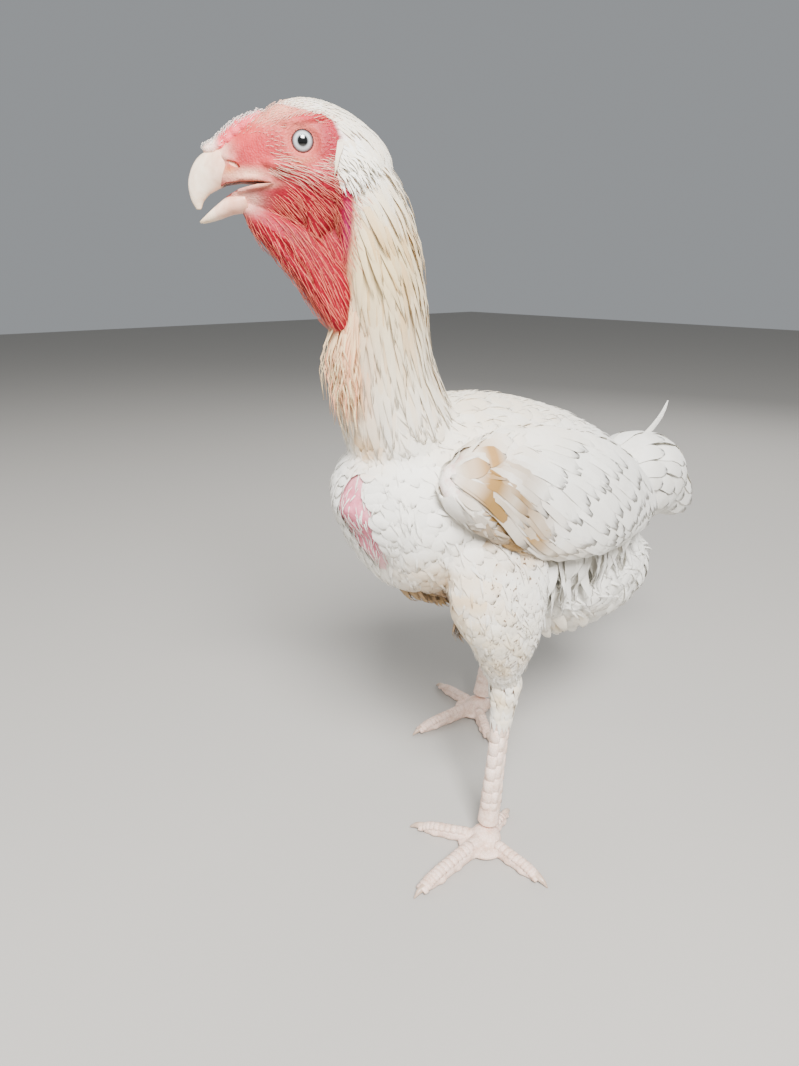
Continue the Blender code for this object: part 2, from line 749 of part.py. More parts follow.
def level_sole(target):
    """Cuts a foot flat at the floor."""
    bpy.ops.mesh.primitive_cube_add(size=1.0)
    block = bpy.context.active_object
    block.scale = (1.0, 1.0, 0.1)
    block.location = (0.0, 0.0, -0.05)
    bpy.context.view_layer.update()
    boolean(target, [block], "DIFFERENCE", "EXACT")
    keep_largest(target)


def make_claw(side, digit):
    start, heading, length = toe_line(side, digit)
    root = start + heading * (length + GAP)
    rows = []
    for share, radius, height in CLAW_OUTLINE:
        centre = root + heading * (CLAW_LENGTH * share)
        rows.append((centre.x, centre.y, height, radius, radius, radius))
    outlines = swept(rows, heading.cross(Vector((0, 0, 1))), 1, 7)
    return object_from(f"claw_{side}_{digit}", loft(outlines), CLAW_HORN)


def make_beak_upper(frame):
    rows = (
        (0.0360, 0.0, -0.0110, 0.0095, 0.0095, 0.0085),
        (0.0440, 0.0, -0.0120, 0.0088, 0.0105, 0.0100),
        (0.0520, 0.0, -0.0150, 0.0068, 0.0105, 0.0095),
        (0.0580, 0.0, -0.0210, 0.0046, 0.0075, 0.0075),
        (0.0605, 0.0, -0.0280, 0.0028, 0.0040, 0.0045),
        (0.0602, 0.0, -0.0340, 0.0010, 0.0012, 0.0014),
    )
    mesh = loft(swept(rows, Vector((0, -1, 0)), 2, 14))
    mesh.transform(frame)
    return object_from("beak_upper", mesh, BEAK_HORN)


def make_beak_lower(frame):
    rows = (
        (0.0330, 0.0, -0.0290, 0.0080, 0.0050, 0.0070),
        (0.0420, 0.0, -0.0315, 0.0070, 0.0045, 0.0055),
        (0.0510, 0.0, -0.0360, 0.0050, 0.0035, 0.0040),
        (0.0580, 0.0, -0.0395, 0.0028, 0.0020, 0.0022),
        (0.0600, 0.0, -0.0408, 0.0010, 0.0008, 0.0008),
    )
    mesh = loft(swept(rows, Vector((0, -1, 0)), 2, 12))
    mesh.transform(frame)
    return object_from("beak_lower", mesh, BEAK_HORN)


def make_eye(frame, side):
    centre = frame @ Vector((0.0, EYE_OUT * SIDES[side], 0.0))
    turn = frame.to_3x3().to_4x4() @ Matrix.Rotation(math.pi / 2, 4, "X")
    return ball("eye_" + side, centre, (EYE_RADIUS,) * 3, EYE_PEARL, 12, 8, turn)


def make_comb(frame):
    """A low comb of three rows of rounded points, the middle row highest."""
    comb = ball("comb", frame @ Vector(COMB_BASE[0]), COMB_BASE[1], COMB_SKIN, 12, 8, comb_turn(frame))
    pieces = []
    for out, count, size, drop in COMB_POINTS:
        for index in range(count):
            share = spread(0.0, 1.0, count, index)
            ahead = COMB_FRONT[0] + (COMB_BACK[0] - COMB_FRONT[0]) * share
            level = COMB_FRONT[1] + (COMB_BACK[1] - COMB_FRONT[1]) * share - drop
            swell = size * (COMB_END_SHARE + COMB_MIDDLE_SHARE * math.sin(math.pi * share))
            for side in (-1, 1) if out else (1,):
                centre = frame @ Vector((ahead, out * side, level + COMB_WAVE * math.sin(5 * index)))
                pieces.append(ball("point", centre, (swell, swell, swell), COMB_SKIN, 6, 4))
    join(comb, pieces)
    return comb


def comb_turn(frame):
    """The comb's slope, down towards the bill."""
    slope = math.atan2(COMB_BACK[1] - COMB_FRONT[1], COMB_FRONT[0] - COMB_BACK[0])
    return frame.to_3x3().to_4x4() @ Matrix.Rotation(slope, 4, "Y")


def make_ear(frame, side):
    """The tuft of short feathers over one ear opening."""
    place = frame @ Matrix.Diagonal((1.0, SIDES[side], 1.0, 1.0))
    sideways = Vector((1, 0, -1))
    mesh = loft(swept(EAR_ROWS, sideways, 1, 8))
    mesh.transform(place)
    ear = object_from("ear_" + side, mesh, PLUMAGE)
    frames = form_rows(EAR_ROWS, sideways, 4)
    tufts = []
    for angle, tip in EAR_TUFTS:
        ends = ((EAR_TUFT_ROOT, angle), (tip, angle))
        sizes = (EAR_TUFT_WIDTH, EAR_TUFT_LIFT, COVERT_THICKNESS)
        tufts.append(feather(frames, *ends, *sizes, PLUMAGE, place=place))
    join(ear, tufts)
    return ear


def make_wing(side):
    """A folded wing: tiers of vanes that overlap from the flight feathers out to the small coverts."""
    sideways = Vector((math.cos(WING_LEAN), 0.0, math.sin(WING_LEAN)))
    mirror = Matrix.Translation(WING_SHIFT[side]) @ Matrix.Diagonal((SIDES[side], 1.0, 1.0, 1.0))
    mesh = loft(swept(WING_ROWS, sideways, 1, 14))
    mesh.transform(mirror)
    wing = object_from("wing_" + side, mesh, PLUMAGE)
    frames = form_rows(WING_ROWS, sideways, 4)
    vanes = []
    for count, first_root, last_root, first_tip, last_tip, width, lift, across in WING_TIERS:
        thickness = FLIGHT_THICKNESS if across > 2 else COVERT_THICKNESS
        for index in range(count):
            root = [spread(low, high, count, index) for low, high in zip(first_root, last_root)]
            tip = [spread(low, high, count, index) for low, high in zip(first_tip, last_tip)]
            tip[0] += random.uniform(-0.012, 0.012)
            tip[1] += random.uniform(-3, 3)
            vanes.append(feather(frames, root, tip, width, lift, thickness, PLUMAGE, across, 1.7, mirror))
    join(wing, vanes, "MANIFOLD")
    return wing


def make_fluff():
    """Soft feathers behind the thighs, hanging in overlapping locks."""
    rows = []
    for back, top, bottom, half in FLUFF_ROWS:
        middle = (top + bottom) / 2
        rows.append((0.0, back, middle, half, top - middle, middle - bottom))
    sideways = Vector((1, 0, 0))
    fluff = object_from("fluff", loft(swept(rows, sideways, 1, 14)), PLUMAGE)
    frames = form_rows(rows, sideways, 3)
    locks = []
    for root, tip in FLUFF_TIERS:
        for index in range(FLUFF_LOCKS // 2):
            angle = spread(*FLUFF_ANGLES, FLUFF_LOCKS // 2, index) + random.uniform(-5, 5)
            hang = angle + (-90 - angle) * FLUFF_HANG
            ends = ((root, angle), (tip + random.uniform(-0.04, 0.04), hang))
            locks.append(feather(frames, *ends, FLUFF_WIDTH, FLUFF_LIFT, COVERT_THICKNESS, PLUMAGE))
    join(fluff, locks, "MANIFOLD")
    return fluff


def make_tail():
    """A short drooping tail: flight vanes under two tiers of coverts and one upright narrow vane."""
    rows = [(0.0, back, level, half, up, down) for back, level, half, up, down in TAIL_ROWS]
    sideways = Vector((1, 0, 0))
    tail = object_from("tail", loft(swept(rows, sideways, 1, 14)), PLUMAGE)
    frames = form_rows(rows, sideways, 4)
    vanes = []
    for count, root, tip, first, last, droop, width, lift, across in TAIL_TIERS:
        thickness = FLIGHT_THICKNESS if across > 2 else COVERT_THICKNESS
        for index in range(count):
            angle = spread(first, last, count, index)
            fall = droop * math.cos(math.radians(angle))
            ends = ((root, angle), (tip + random.uniform(-0.04, 0.04), angle - fall))
            vanes.append(feather(frames, *ends, width, lift, thickness, PLUMAGE, across))
    points = [Vector(point) for point in SICKLE]
    outs = [Vector((1, 0, 0))] * len(points)
    vanes.append(object_from("sickle", vane(points, outs, SICKLE_WIDTHS, FLIGHT_THICKNESS), PLUMAGE))
    join(tail, vanes, "MANIFOLD")
    return tail


clear_scene()
random.seed(7)
BIRD = bpy.data.collections.new("aseel")
bpy.context.scene.collection.children.link(BIRD)

PLUMAGE = finish_material("plumage", (0.86, 0.82, 0.72), 0.85)
HACKLE = finish_material("hackle", (0.84, 0.76, 0.62), 0.8)
FACE_SKIN = finish_material("face_skin", (0.70, 0.14, 0.15), 0.55)
COMB_SKIN = finish_material("comb_skin", (0.80, 0.36, 0.36), 0.55)
BEAK_HORN = finish_material("beak_horn", (0.86, 0.74, 0.62), 0.4)
LEG_SCALES = finish_material("leg_scales", (0.84, 0.68, 0.60), 0.6)
CLAW_HORN = finish_material("claw_horn", (0.66, 0.52, 0.42), 0.45)
EYE_PEARL = finish_material("eye_pearl", (0.80, 0.80, 0.78), 0.1)

head_place = head_frame()
torso = make_torso()
neck = make_neck()
head = make_head(head_place)
throat = make_throat(head_place)
beak_upper = make_beak_upper(head_place)
beak_lower = make_beak_lower(head_place)
comb = make_comb(head_place)
eyes = [make_eye(head_place, side) for side in ("left", "right")]
ears = [make_ear(head_place, side) for side in ("left", "right")]
wings = [make_wing(side) for side in ("left", "right")]
tail = make_tail()
fluff = make_fluff()
thighs = [make_thigh(side) for side in ("left", "right")]
shanks = [make_shank(side) for side in ("left", "right")]
feet = [make_foot(side) for side in ("left", "right")]
claws = [make_claw(side, digit) for side in ("left", "right") for digit in TOE_PLAN]

for foot in feet:
    level_sole(foot)
for half in (head, beak_upper, beak_lower):
    boolean(half, [make_gape(head_place)], "DIFFERENCE", "MANIFOLD")
    keep_largest(half)
cut_clear(head, eyes + [beak_upper, beak_lower], "MANIFOLD")
cut_clear(comb, [head, beak_upper])
cut_clear(neck, [torso, head], "MANIFOLD")
cut_clear(throat, [neck, head, beak_lower])
boolean(throat, [lowered(head)], "DIFFERENCE", "MANIFOLD")
keep_largest(throat)
for ear in ears:
    cut_clear(ear, [head, neck])
cut_clear(neck, ears)
for thigh in thighs:
    cut_clear(thigh, [torso])
for wing in wings:
    cut_clear(wing, [torso, neck] + thighs, "MANIFOLD")
cut_clear(fluff, [torso] + wings + thighs)
cut_clear(tail, [torso, fluff] + wings, "MANIFOLD")
for shank, thigh, foot in zip(shanks, thighs, feet):
    cut_clear(shank, [thigh, foot])
for claw in claws:
    cut_clear(claw, feet)

stand = bpy.data.objects.new("aseel_stance", None)
bpy.context.scene.collection.objects.link(stand)
stand.location = [-value for value in STAND_CENTRE]
for piece in BIRD.objects:
    piece.parent = stand
bpy.context.view_layer.update()
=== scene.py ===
"""A white aseel chicken standing still, life-size, its plumage laid feather by feather."""

import itertools
import math
import random

import bmesh
import bpy
import numpy as np
from mathutils import Matrix, Vector
from mathutils.bvhtree import BVHTree


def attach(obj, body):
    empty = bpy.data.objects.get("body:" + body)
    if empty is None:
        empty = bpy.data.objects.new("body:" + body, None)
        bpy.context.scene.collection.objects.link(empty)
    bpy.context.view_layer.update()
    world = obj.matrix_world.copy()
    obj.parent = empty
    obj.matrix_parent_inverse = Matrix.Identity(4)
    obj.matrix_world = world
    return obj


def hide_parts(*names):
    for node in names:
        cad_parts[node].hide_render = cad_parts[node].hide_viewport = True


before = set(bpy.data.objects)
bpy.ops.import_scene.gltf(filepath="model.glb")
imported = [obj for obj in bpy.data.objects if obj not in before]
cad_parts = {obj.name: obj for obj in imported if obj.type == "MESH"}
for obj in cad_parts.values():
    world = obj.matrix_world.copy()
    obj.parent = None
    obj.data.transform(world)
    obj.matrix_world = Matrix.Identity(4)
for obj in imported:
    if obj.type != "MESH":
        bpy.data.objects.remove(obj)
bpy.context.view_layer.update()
random.seed(11)
CHANCE = np.random.default_rng(11)

# The bird's measures are taken from the floor under its breast; this moves them to the model's origin
SHIFT = Vector((0.0295, -0.0366, 0.0))

# Outlines of the body from the breast back: place back, top, bottom and half width
TRUNK_ROWS = (
    (-0.133, 0.308, 0.287, 0.010),
    (-0.129, 0.328, 0.268, 0.030),
    (-0.114, 0.352, 0.248, 0.052),
    (-0.088, 0.368, 0.233, 0.066),
    (-0.050, 0.384, 0.218, 0.075),
    (0.000, 0.380, 0.208, 0.078),
    (0.050, 0.367, 0.205, 0.076),
    (0.100, 0.348, 0.212, 0.066),
    (0.140, 0.328, 0.228, 0.052),
    (0.172, 0.312, 0.246, 0.036),
    (0.190, 0.298, 0.264, 0.016),
)
# Outlines along the other forms: place across, back and up, half width, reach up and reach down
NECK_ROWS = (
    (0.000, -0.084, 0.336, 0.041, 0.036, 0.044),
    (0.000, -0.096, 0.366, 0.038, 0.034, 0.040),
    (0.002, -0.106, 0.393, 0.034, 0.032, 0.035),
    (0.006, -0.114, 0.420, 0.031, 0.030, 0.031),
    (0.014, -0.123, 0.452, 0.029, 0.028, 0.030),
    (0.022, -0.132, 0.482, 0.026, 0.026, 0.028),
    (0.027, -0.142, 0.506, 0.021, 0.022, 0.023),
    (0.026, -0.154, 0.525, 0.015, 0.018, 0.016),
    (0.024, -0.160, 0.538, 0.011, 0.012, 0.012),
)
THIGH_ROWS = {
    "left": (
        (0.050, -0.030, 0.300, 0.022, 0.030, 0.040),
        (0.058, -0.040, 0.270, 0.030, 0.036, 0.050),
        (0.062, -0.040, 0.240, 0.030, 0.035, 0.050),
        (0.061, -0.034, 0.210, 0.025, 0.027, 0.036),
        (0.055, -0.028, 0.184, 0.019, 0.020, 0.026),
        (0.050, -0.024, 0.166, 0.0150, 0.015, 0.018),
        (0.048, -0.021, 0.154, 0.0110, 0.0115, 0.013),
    ),
    "right": (
        (-0.050, 0.020, 0.295, 0.022, 0.036, 0.036),
        (-0.062, 0.034, 0.262, 0.030, 0.044, 0.040),
        (-0.074, 0.056, 0.235, 0.029, 0.038, 0.034),
        (-0.084, 0.086, 0.207, 0.024, 0.030, 0.028),
        (-0.091, 0.114, 0.181, 0.019, 0.021, 0.022),
        (-0.094, 0.129, 0.164, 0.0150, 0.0155, 0.017),
        (-0.095, 0.134, 0.153, 0.0110, 0.0120, 0.012),
    ),
}
WING_ROWS = (
    (0.056, -0.102, 0.342, 0.005, 0.008, 0.010),
    (0.064, -0.092, 0.338, 0.012, 0.020, 0.024),
    (0.068, -0.065, 0.332, 0.017, 0.034, 0.038),
    (0.070, -0.030, 0.324, 0.019, 0.042, 0.048),
    (0.071, 0.010, 0.315, 0.019, 0.044, 0.050),
    (0.069, 0.050, 0.306, 0.018, 0.042, 0.048),
    (0.064, 0.085, 0.298, 0.016, 0.036, 0.042),
    (0.058, 0.112, 0.290, 0.012, 0.028, 0.034),
    (0.052, 0.128, 0.284, 0.005, 0.012, 0.018),
)
WING_LEAN = math.radians(18)
WING_SHIFT = {"left": (0.0, 0.0, 0.0), "right": (0.007, 0.014, -0.006)}
FLUFF_ROWS = (
    (0.015, 0.225, 0.197, 0.020),
    (0.045, 0.238, 0.180, 0.045),
    (0.090, 0.244, 0.171, 0.056),
    (0.130, 0.246, 0.171, 0.052),
    (0.168, 0.246, 0.180, 0.042),
    (0.190, 0.238, 0.192, 0.024),
)
TAIL_ROWS = (
    (0.150, 0.285, 0.020, 0.016, 0.022),
    (0.180, 0.287, 0.026, 0.025, 0.034),
    (0.210, 0.284, 0.029, 0.030, 0.040),
    (0.238, 0.275, 0.027, 0.031, 0.040),
    (0.260, 0.264, 0.021, 0.026, 0.033),
    (0.274, 0.255, 0.009, 0.012, 0.016),
)
TRUNK_WIDEST = 0.55
# No form is drawn in to less than this share of its outline
LEAST_CORE = 0.3
SIDES = {"left": 1, "right": -1}
FLESH = ("torso", "neck", "thigh_left", "thigh_right", "fluff", "tail", "wing_left", "wing_right")

HEAD_TURN = math.radians(33)
HEAD_MIDDLE = Vector((0.0084, -0.1702, 0.5356)) + SHIFT
# Outlines of the head: place ahead of the eyes, level, half width, reach up and reach down
HEAD_ROWS = (
    (0.0480, -0.0180, 0.0050, 0.010, 0.012),
    (0.0440, -0.0165, 0.0085, 0.015, 0.018),
    (0.0360, -0.0140, 0.0115, 0.018, 0.024),
    (0.0260, -0.0110, 0.0140, 0.0215, 0.032),
    (0.0140, -0.0070, 0.0165, 0.0245, 0.042),
    (0.0000, -0.0040, 0.0185, 0.0278, 0.049),
    (-0.0140, -0.0060, 0.0196, 0.0262, 0.052),
    (-0.0260, -0.0100, 0.0188, 0.0222, 0.050),
    (-0.0360, -0.0160, 0.0160, 0.0180, 0.042),
    (-0.0430, -0.0220, 0.0100, 0.0110, 0.028),
)
JAW_PINCH = 0.42
THROAT_ROWS = (
    (0.0330, -0.0330, 0.0060, 0.004, 0.006),
    (0.0250, -0.0400, 0.0090, 0.008, 0.008),
    (0.0080, -0.0520, 0.0110, 0.012, 0.014),
    (-0.0040, -0.0660, 0.0105, 0.012, 0.016),
    (-0.0120, -0.0800, 0.0090, 0.011, 0.015),
    (-0.0180, -0.0940, 0.0060, 0.008, 0.007),
    (-0.0210, -0.1010, 0.0030, 0.004, 0.003),
)
# The opening between the bills: place ahead, its upper edge and its lower edge
GAPE_HALF_WIDTH = 0.030
GAPE_ROWS = (
    (0.0180, -0.0205, -0.0209),
    (0.0260, -0.0196, -0.0214),
    (0.0360, -0.0194, -0.0236),
    (0.0440, -0.0208, -0.0272),
    (0.0530, -0.0262, -0.0345),
    (0.0600, -0.0350, -0.0405),
    (0.0660, -0.0372, -0.0412),
)
BEAK_UPPER_ROWS = (
    (0.0360, 0.0, -0.0110, 0.0095, 0.0095, 0.0085),
    (0.0440, 0.0, -0.0120, 0.0088, 0.0105, 0.0100),
    (0.0520, 0.0, -0.0150, 0.0068, 0.0105, 0.0095),
    (0.0580, 0.0, -0.0210, 0.0046, 0.0075, 0.0075),
    (0.0605, 0.0, -0.0280, 0.0028, 0.0040, 0.0045),
    (0.0602, 0.0, -0.0340, 0.0010, 0.0012, 0.0014),
)
BEAK_LOWER_ROWS = (
    (0.0330, 0.0, -0.0290, 0.0080, 0.0050, 0.0070),
    (0.0420, 0.0, -0.0315, 0.0070, 0.0045, 0.0055),
    (0.0510, 0.0, -0.0360, 0.0050, 0.0035, 0.0040),
    (0.0580, 0.0, -0.0395, 0.0028, 0.0020, 0.0022),
    (0.0600, 0.0, -0.0408, 0.0010, 0.0008, 0.0008),
)
EYE_RADIUS = 0.0078
EYE_OUT = 0.0106
EYE_GAP = 0.00015
# Rings of the eye from its middle: shares of its radius and how light each is
IRIS_RINGS = (
    (0.0, 0.33, 0.36, 0.42, 0.52, 0.60, 0.66, 0.71, 1.0),
    (0.002, 0.002, 0.10, 0.40, 0.52, 0.34, 0.12, 0.03, 0.02),
)
# Lids: place out, radius and thickness
LID_OUT = 0.0150
LIDS = ((LID_OUT, 0.0077, 0.0012), (LID_OUT + 0.0014, 0.0101, 0.0009))
LID_SQUASH = 0.94
# Brow, cheek, nostril ridge and the fold under the eye: place ahead, out and up, radii and slant
FACE_SWELLINGS = (
    (-0.0010, 0.0146, 0.0104, (0.0130, 0.0036, 0.0028), -8),
    (-0.0130, 0.0135, -0.0170, (0.0140, 0.0068, 0.0120), 0),
    (0.0400, 0.0080, -0.0085, (0.0052, 0.0030, 0.0026), 24),
    (0.0120, 0.0135, -0.0120, (0.0120, 0.0045, 0.0036), 10),
)
NOSTRIL = (0.0042, 0.0025, 0.0013)
# Upper and lower lip: places ahead and up, and radii
LIPS = (
    (
        ((0.0175, -0.0207), (0.0230, -0.0190), (0.0300, -0.0183), (0.0370, -0.0184)),
        (0.0008, 0.0012, 0.0012, 0.0007),
    ),
    (
        ((0.0175, -0.0207), (0.0230, -0.0222), (0.0300, -0.0232), (0.0370, -0.0250)),
        (0.0008, 0.0013, 0.0014, 0.0008),
    ),
)
THROAT_FOLDS = (12, 34, 58, 82, 98, 122, 146, 168)
THROAT_TOP = -0.040
EAR_PLACE = (-0.0265, 0.0195, -0.0090)
EAR_REACH = 0.0105
EYE_BASIN = (0.0112, 0.0084, 0.0102)
EYE_BASIN_OUT = 0.0225
COMB_FRONT = (0.0500, -0.0010)
COMB_BACK = (0.0235, 0.0150)

HOCK = {"left": (0.048, -0.019, 0.152), "right": (-0.0950, 0.1360, 0.152)}
ANKLE = {"left": (0.0455, -0.0300, 0.0200), "right": (-0.1050, 0.1160, 0.0200)}
# Shank from above the hock down: share of its length, half width and half depth, made slimmer by a factor
SHANK_SLIM = 0.94
SHANK_ROWS = (
    (-0.06, 0.0062, 0.0072),
    (0.0, 0.0096, 0.0112),
    (0.08, 0.0092, 0.0106),
    (0.2, 0.0076, 0.0084),
    (0.5, 0.0073, 0.0080),
    (0.8, 0.0084, 0.0088),
    (1.0, 0.0100, 0.0096),
)
# Scutes on the sides and back of the shank: angle, start and end
SIDE_SCUTES = ((-22, 0.0, 0.050), (-158, 0.0, 0.050), (40, 0.02, 0.066), (140, 0.02, 0.066), (90, 0.02, 0.066))
FRONT_SCUTES = 17
SCUTE_RINGS = 15
SCUTE_PITCH = 0.0052
PLATE_BOW = 1.05
PLATE_THICKNESS = 0.0007
# Turn out from straight ahead in degrees, and length with the claw
TOE_PLAN = {"inner": (-58.0, 0.068), "middle": (5.0, 0.088), "outer": (92.0, 0.069), "hind": (197.0, 0.052)}
TOE_RADII = {"inner": 0.0066, "middle": 0.0076, "outer": 0.0066, "hind": 0.0060}
TOE_OUTLINE = ((0.0, 1.0), (0.25, 0.97), (0.5, 0.90), (0.75, 0.84), (0.93, 0.70), (1.0, 0.46))
SOCK_TIERS = 6
SOCK_FEATHERS = 14
CLAW_LENGTH = 0.014
# Share of the claw's length, radius and level
CLAW_OUTLINE = (
    (0.0, 0.0031, 0.0046),
    (0.3, 0.0029, 0.0050),
    (0.6, 0.0022, 0.0042),
    (0.85, 0.0012, 0.0024),
    (1.0, 0.0004, 0.0009),
)

# Coat
COAT_DEPTH = 0.0045
CORE_DEPTH = 0.0012
SKIN_VOXEL = 0.0022
FACE_VOXEL = 0.00075
BAKE_PATCH = 0.003

# Regions of the coat
BODY, HACKLE, THIGH, FLUFF, TAIL, WING = range(6)
ROOT_CELL = 0.004
VANE_THICKNESS = 0.0003
TIER_THICKNESS = 0.00038
BRISTLE_THICKNESS = 0.00026
# Thickness, camber and fray of loose strands
LOOSE_BUILD = (VANE_THICKNESS, 0.05, 0.3)
BALD_FROM = 0.36
WISPS_FROM = 0.34
BELLY_TUFTS = 110
BELLY_LEVEL = 0.222
LOOSE_BARBS = 4600
FRINGE_STRANDS = 360
# Slant of the barbs out from the shaft, and how many waves they make along it
BARB_SLANT = 0.8
BARB_WAVES = 150.0

# Outlines of feathers, as shares of their width from root to tip
ROUNDED = (0.30, 0.66, 0.88, 1.0, 0.98, 0.84, 0.55, 0.16)
POINTED = (0.50, 0.90, 1.0, 0.88, 0.64, 0.36, 0.06)
BROAD = (0.30, 0.58, 0.80, 0.94, 1.0, 1.0, 0.92, 0.74, 0.30)
TUFTED = (0.50, 0.90, 1.0, 0.86, 0.68, 0.46, 0.24, 0.06)
WISP = (0.5, 1.0, 0.85, 0.5, 0.08)
NEEDLE = (0.9, 1.0, 0.7, 0.12)

# Share of a form's length from where feathers run straight on
FULL_SHARE = 0.86
# Wing tiers from the deepest out: count, first and last root, first and last tip as share back and angle
# up from the outer side, width and lift of the tips
WING_TIERS = (
    (9, (0.46, -66), (0.60, -36), (0.99, -70), (1.07, -26), 0.014, 0.0006),
    (21, (0.26, -52), (0.70, 50), (0.58, -100), (1.09, -22), 0.0145, 0.0014),
    (24, (0.20, -42), (0.58, 58), (0.50, -92), (0.99, 4), 0.0140, 0.0020),
    (25, (0.14, -30), (0.46, 62), (0.42, -80), (0.84, 18), 0.0135, 0.0026),
    (25, (0.09, -18), (0.36, 66), (0.33, -68), (0.69, 32), 0.0130, 0.0031),
    (23, (0.06, -8), (0.26, 68), (0.25, -52), (0.54, 44), 0.0125, 0.0035),
)
# Tail tiers: count, root and tip as share back, first and last angle, droop, width and lift
TAIL_TIERS = (
    (11, 0.40, 1.16, -66, 246, 8, 0.021, 0.0026),
    (12, 0.30, 0.98, -60, 240, 12, 0.019, 0.0040),
    (12, 0.18, 0.80, -44, 224, 16, 0.018, 0.0052),
    (11, 0.08, 0.62, -26, 206, 16, 0.017, 0.0062),
    (9, 0.00, 0.42, -4, 184, 12, 0.016, 0.0068),
)
DRAPE_FRONT = (0.072, -0.006, 0.264)
DRAPE_BACK = (0.056, 0.120, 0.272)
DRAPE_TUFTS = 24
# Rows of tufts under the wing: how far in and down
DRAPE_ROWS = ((0.000, 0.0), (0.006, 0.010), (0.013, 0.020))
SICKLE = ((0.000, 0.196, 0.306), (0.000, 0.226, 0.318), (-0.001, 0.249, 0.332), (-0.002, 0.264, 0.352))
SICKLE_WIDTH = 0.0075
TILT = math.radians(-4)

# Colours
WHITE = np.array((0.93, 0.905, 0.83))
CREAM = np.array((0.88, 0.69, 0.38))
# Beige of the hackle's shaded strands: partly their own tone, partly painted shade
BEIGE_AND_SHADE = np.array((0.70, 0.45, 0.19))
PEACH = np.array((0.82, 0.35, 0.17))
# Levels from which cream and then white set in up the neck, and over what height
HACKLE_RISE = (0.34, 0.12)
NAPE_RISE = (0.48, 0.05)
# Stains on the plumage: place, reach, colour and strength
STAINS = (
    ((0.080, -0.080, 0.342), (0.030, 0.024, 0.024), (0.42, 0.22, 0.06), 1.0),
    ((0.087, -0.069, 0.320), (0.030, 0.029, 0.028), (0.24, 0.125, 0.02), 1.35),
    ((0.093, -0.055, 0.295), (0.030, 0.030, 0.024), (0.32, 0.18, 0.05), 1.15),
    ((0.094, -0.022, 0.275), (0.030, 0.036, 0.010), (0.62, 0.42, 0.20), 0.60),
    ((0.050, -0.092, 0.250), (0.050, 0.046, 0.030), (0.68, 0.43, 0.17), 0.75),
    ((0.030, -0.074, 0.232), (0.026, 0.036, 0.018), (0.26, 0.13, 0.04), 0.95),
    ((0.070, -0.062, 0.215), (0.040, 0.040, 0.030), (0.84, 0.66, 0.38), 0.55),
    ((0.075, -0.050, 0.185), (0.026, 0.030, 0.018), (0.72, 0.52, 0.26), 0.65),
    ((0.048, -0.022, 0.138), (0.026, 0.030, 0.030), (0.80, 0.62, 0.36), 0.75),
    ((0.050, 0.000, 0.136), (0.022, 0.016, 0.022), (0.60, 0.38, 0.16), 0.7),
    ((0.030, 0.060, 0.175), (0.060, 0.050, 0.016), (0.70, 0.54, 0.32), 0.6),
    ((0.008, -0.125, 0.360), (0.018, 0.020, 0.026), (0.78, 0.50, 0.22), 0.85),
    ((0.014, -0.140, 0.420), (0.016, 0.020, 0.044), (0.82, 0.42, 0.22), 0.85),
)
# The bare skin down the breast: place, reach, colour and strength
BREAST_PATCH = ((0.003, -0.130, 0.299), (0.025, 0.038, 0.052), (0.78, 0.25, 0.33), 0.9)
# Back edge of the bare face: levels and distances ahead of the eyes
FACE_EDGE_LEVELS = (-0.104, -0.0786, -0.048, -0.022, -0.004, 0.0055, 0.012, 0.015, 0.018, 0.022)
FACE_EDGE_PLACES = (-0.0175, -0.0215, -0.0262, -0.0280, -0.0230, -0.0200, -0.0170, -0.006, 0.006, 0.018)
FACE_END = -0.104
MOUTH = np.array((0.22, 0.03, 0.03))
FACE_BASE = np.array((0.28, 0.000, 0.014))
# Tints of the face: place ahead, out and up, reach, colour and strength
FACE_TINTS = (
    ((0.028, 0.006, 0.003), (0.022, 0.016, 0.014), (0.60, 0.05, 0.05), 0.85),
    ((0.012, 0.010, 0.016), (0.020, 0.014, 0.009), (0.84, 0.36, 0.24), 0.85),
    ((0.046, 0.004, -0.008), (0.008, 0.012, 0.010), (0.88, 0.56, 0.42), 0.95),
    ((0.000, 0.017, 0.000), (0.0115, 0.010, 0.0105), (0.76, 0.22, 0.16), 0.85),
    ((0.001, 0.017, -0.0100), (0.0080, 0.008, 0.0026), (0.44, 0.17, 0.08), 0.7),
    ((0.018, 0.012, -0.011), (0.014, 0.010, 0.005), (0.70, 0.10, 0.09), 0.6),
    ((-0.008, 0.016, -0.014), (0.018, 0.012, 0.005), (0.70, 0.11, 0.11), 0.5),
    ((-0.006, 0.012, -0.064), (0.022, 0.022, 0.026), (0.24, 0.000, 0.010), 0.9),
    ((0.005, 0.010, -0.050), (0.008, 0.012, 0.006), (0.18, 0.000, 0.004), 0.9),
    ((-0.024, 0.016, -0.045), (0.0030, 0.016, 0.020), (0.46, 0.02, 0.18), 0.6),
    ((0.036, 0.010, -0.0300), (0.012, 0.014, 0.0070), (0.88, 0.54, 0.42), 0.95),
    ((0.034, 0.010, -0.0165), (0.016, 0.014, 0.0035), (0.88, 0.50, 0.34), 0.9),
    ((0.026, 0.010, -0.0215), (0.012, 0.014, 0.0022), (0.88, 0.50, 0.34), 0.8),
    ((-0.0165, 0.018, 0.002), (0.0065, 0.012, 0.012), (0.29, 0.001, 0.014), 1.0),
    ((-0.004, 0.018, 0.0120), (0.012, 0.012, 0.0030), (0.46, 0.01, 0.03), 0.9),
    ((0.041, 0.008, -0.0135), (0.0045, 0.010, 0.0028), (0.66, 0.22, 0.07), 0.8),
    ((0.0385, 0.011, -0.0112), (0.0036, 0.006, 0.0018), (0.45, 0.004, 0.012), 0.9),
)
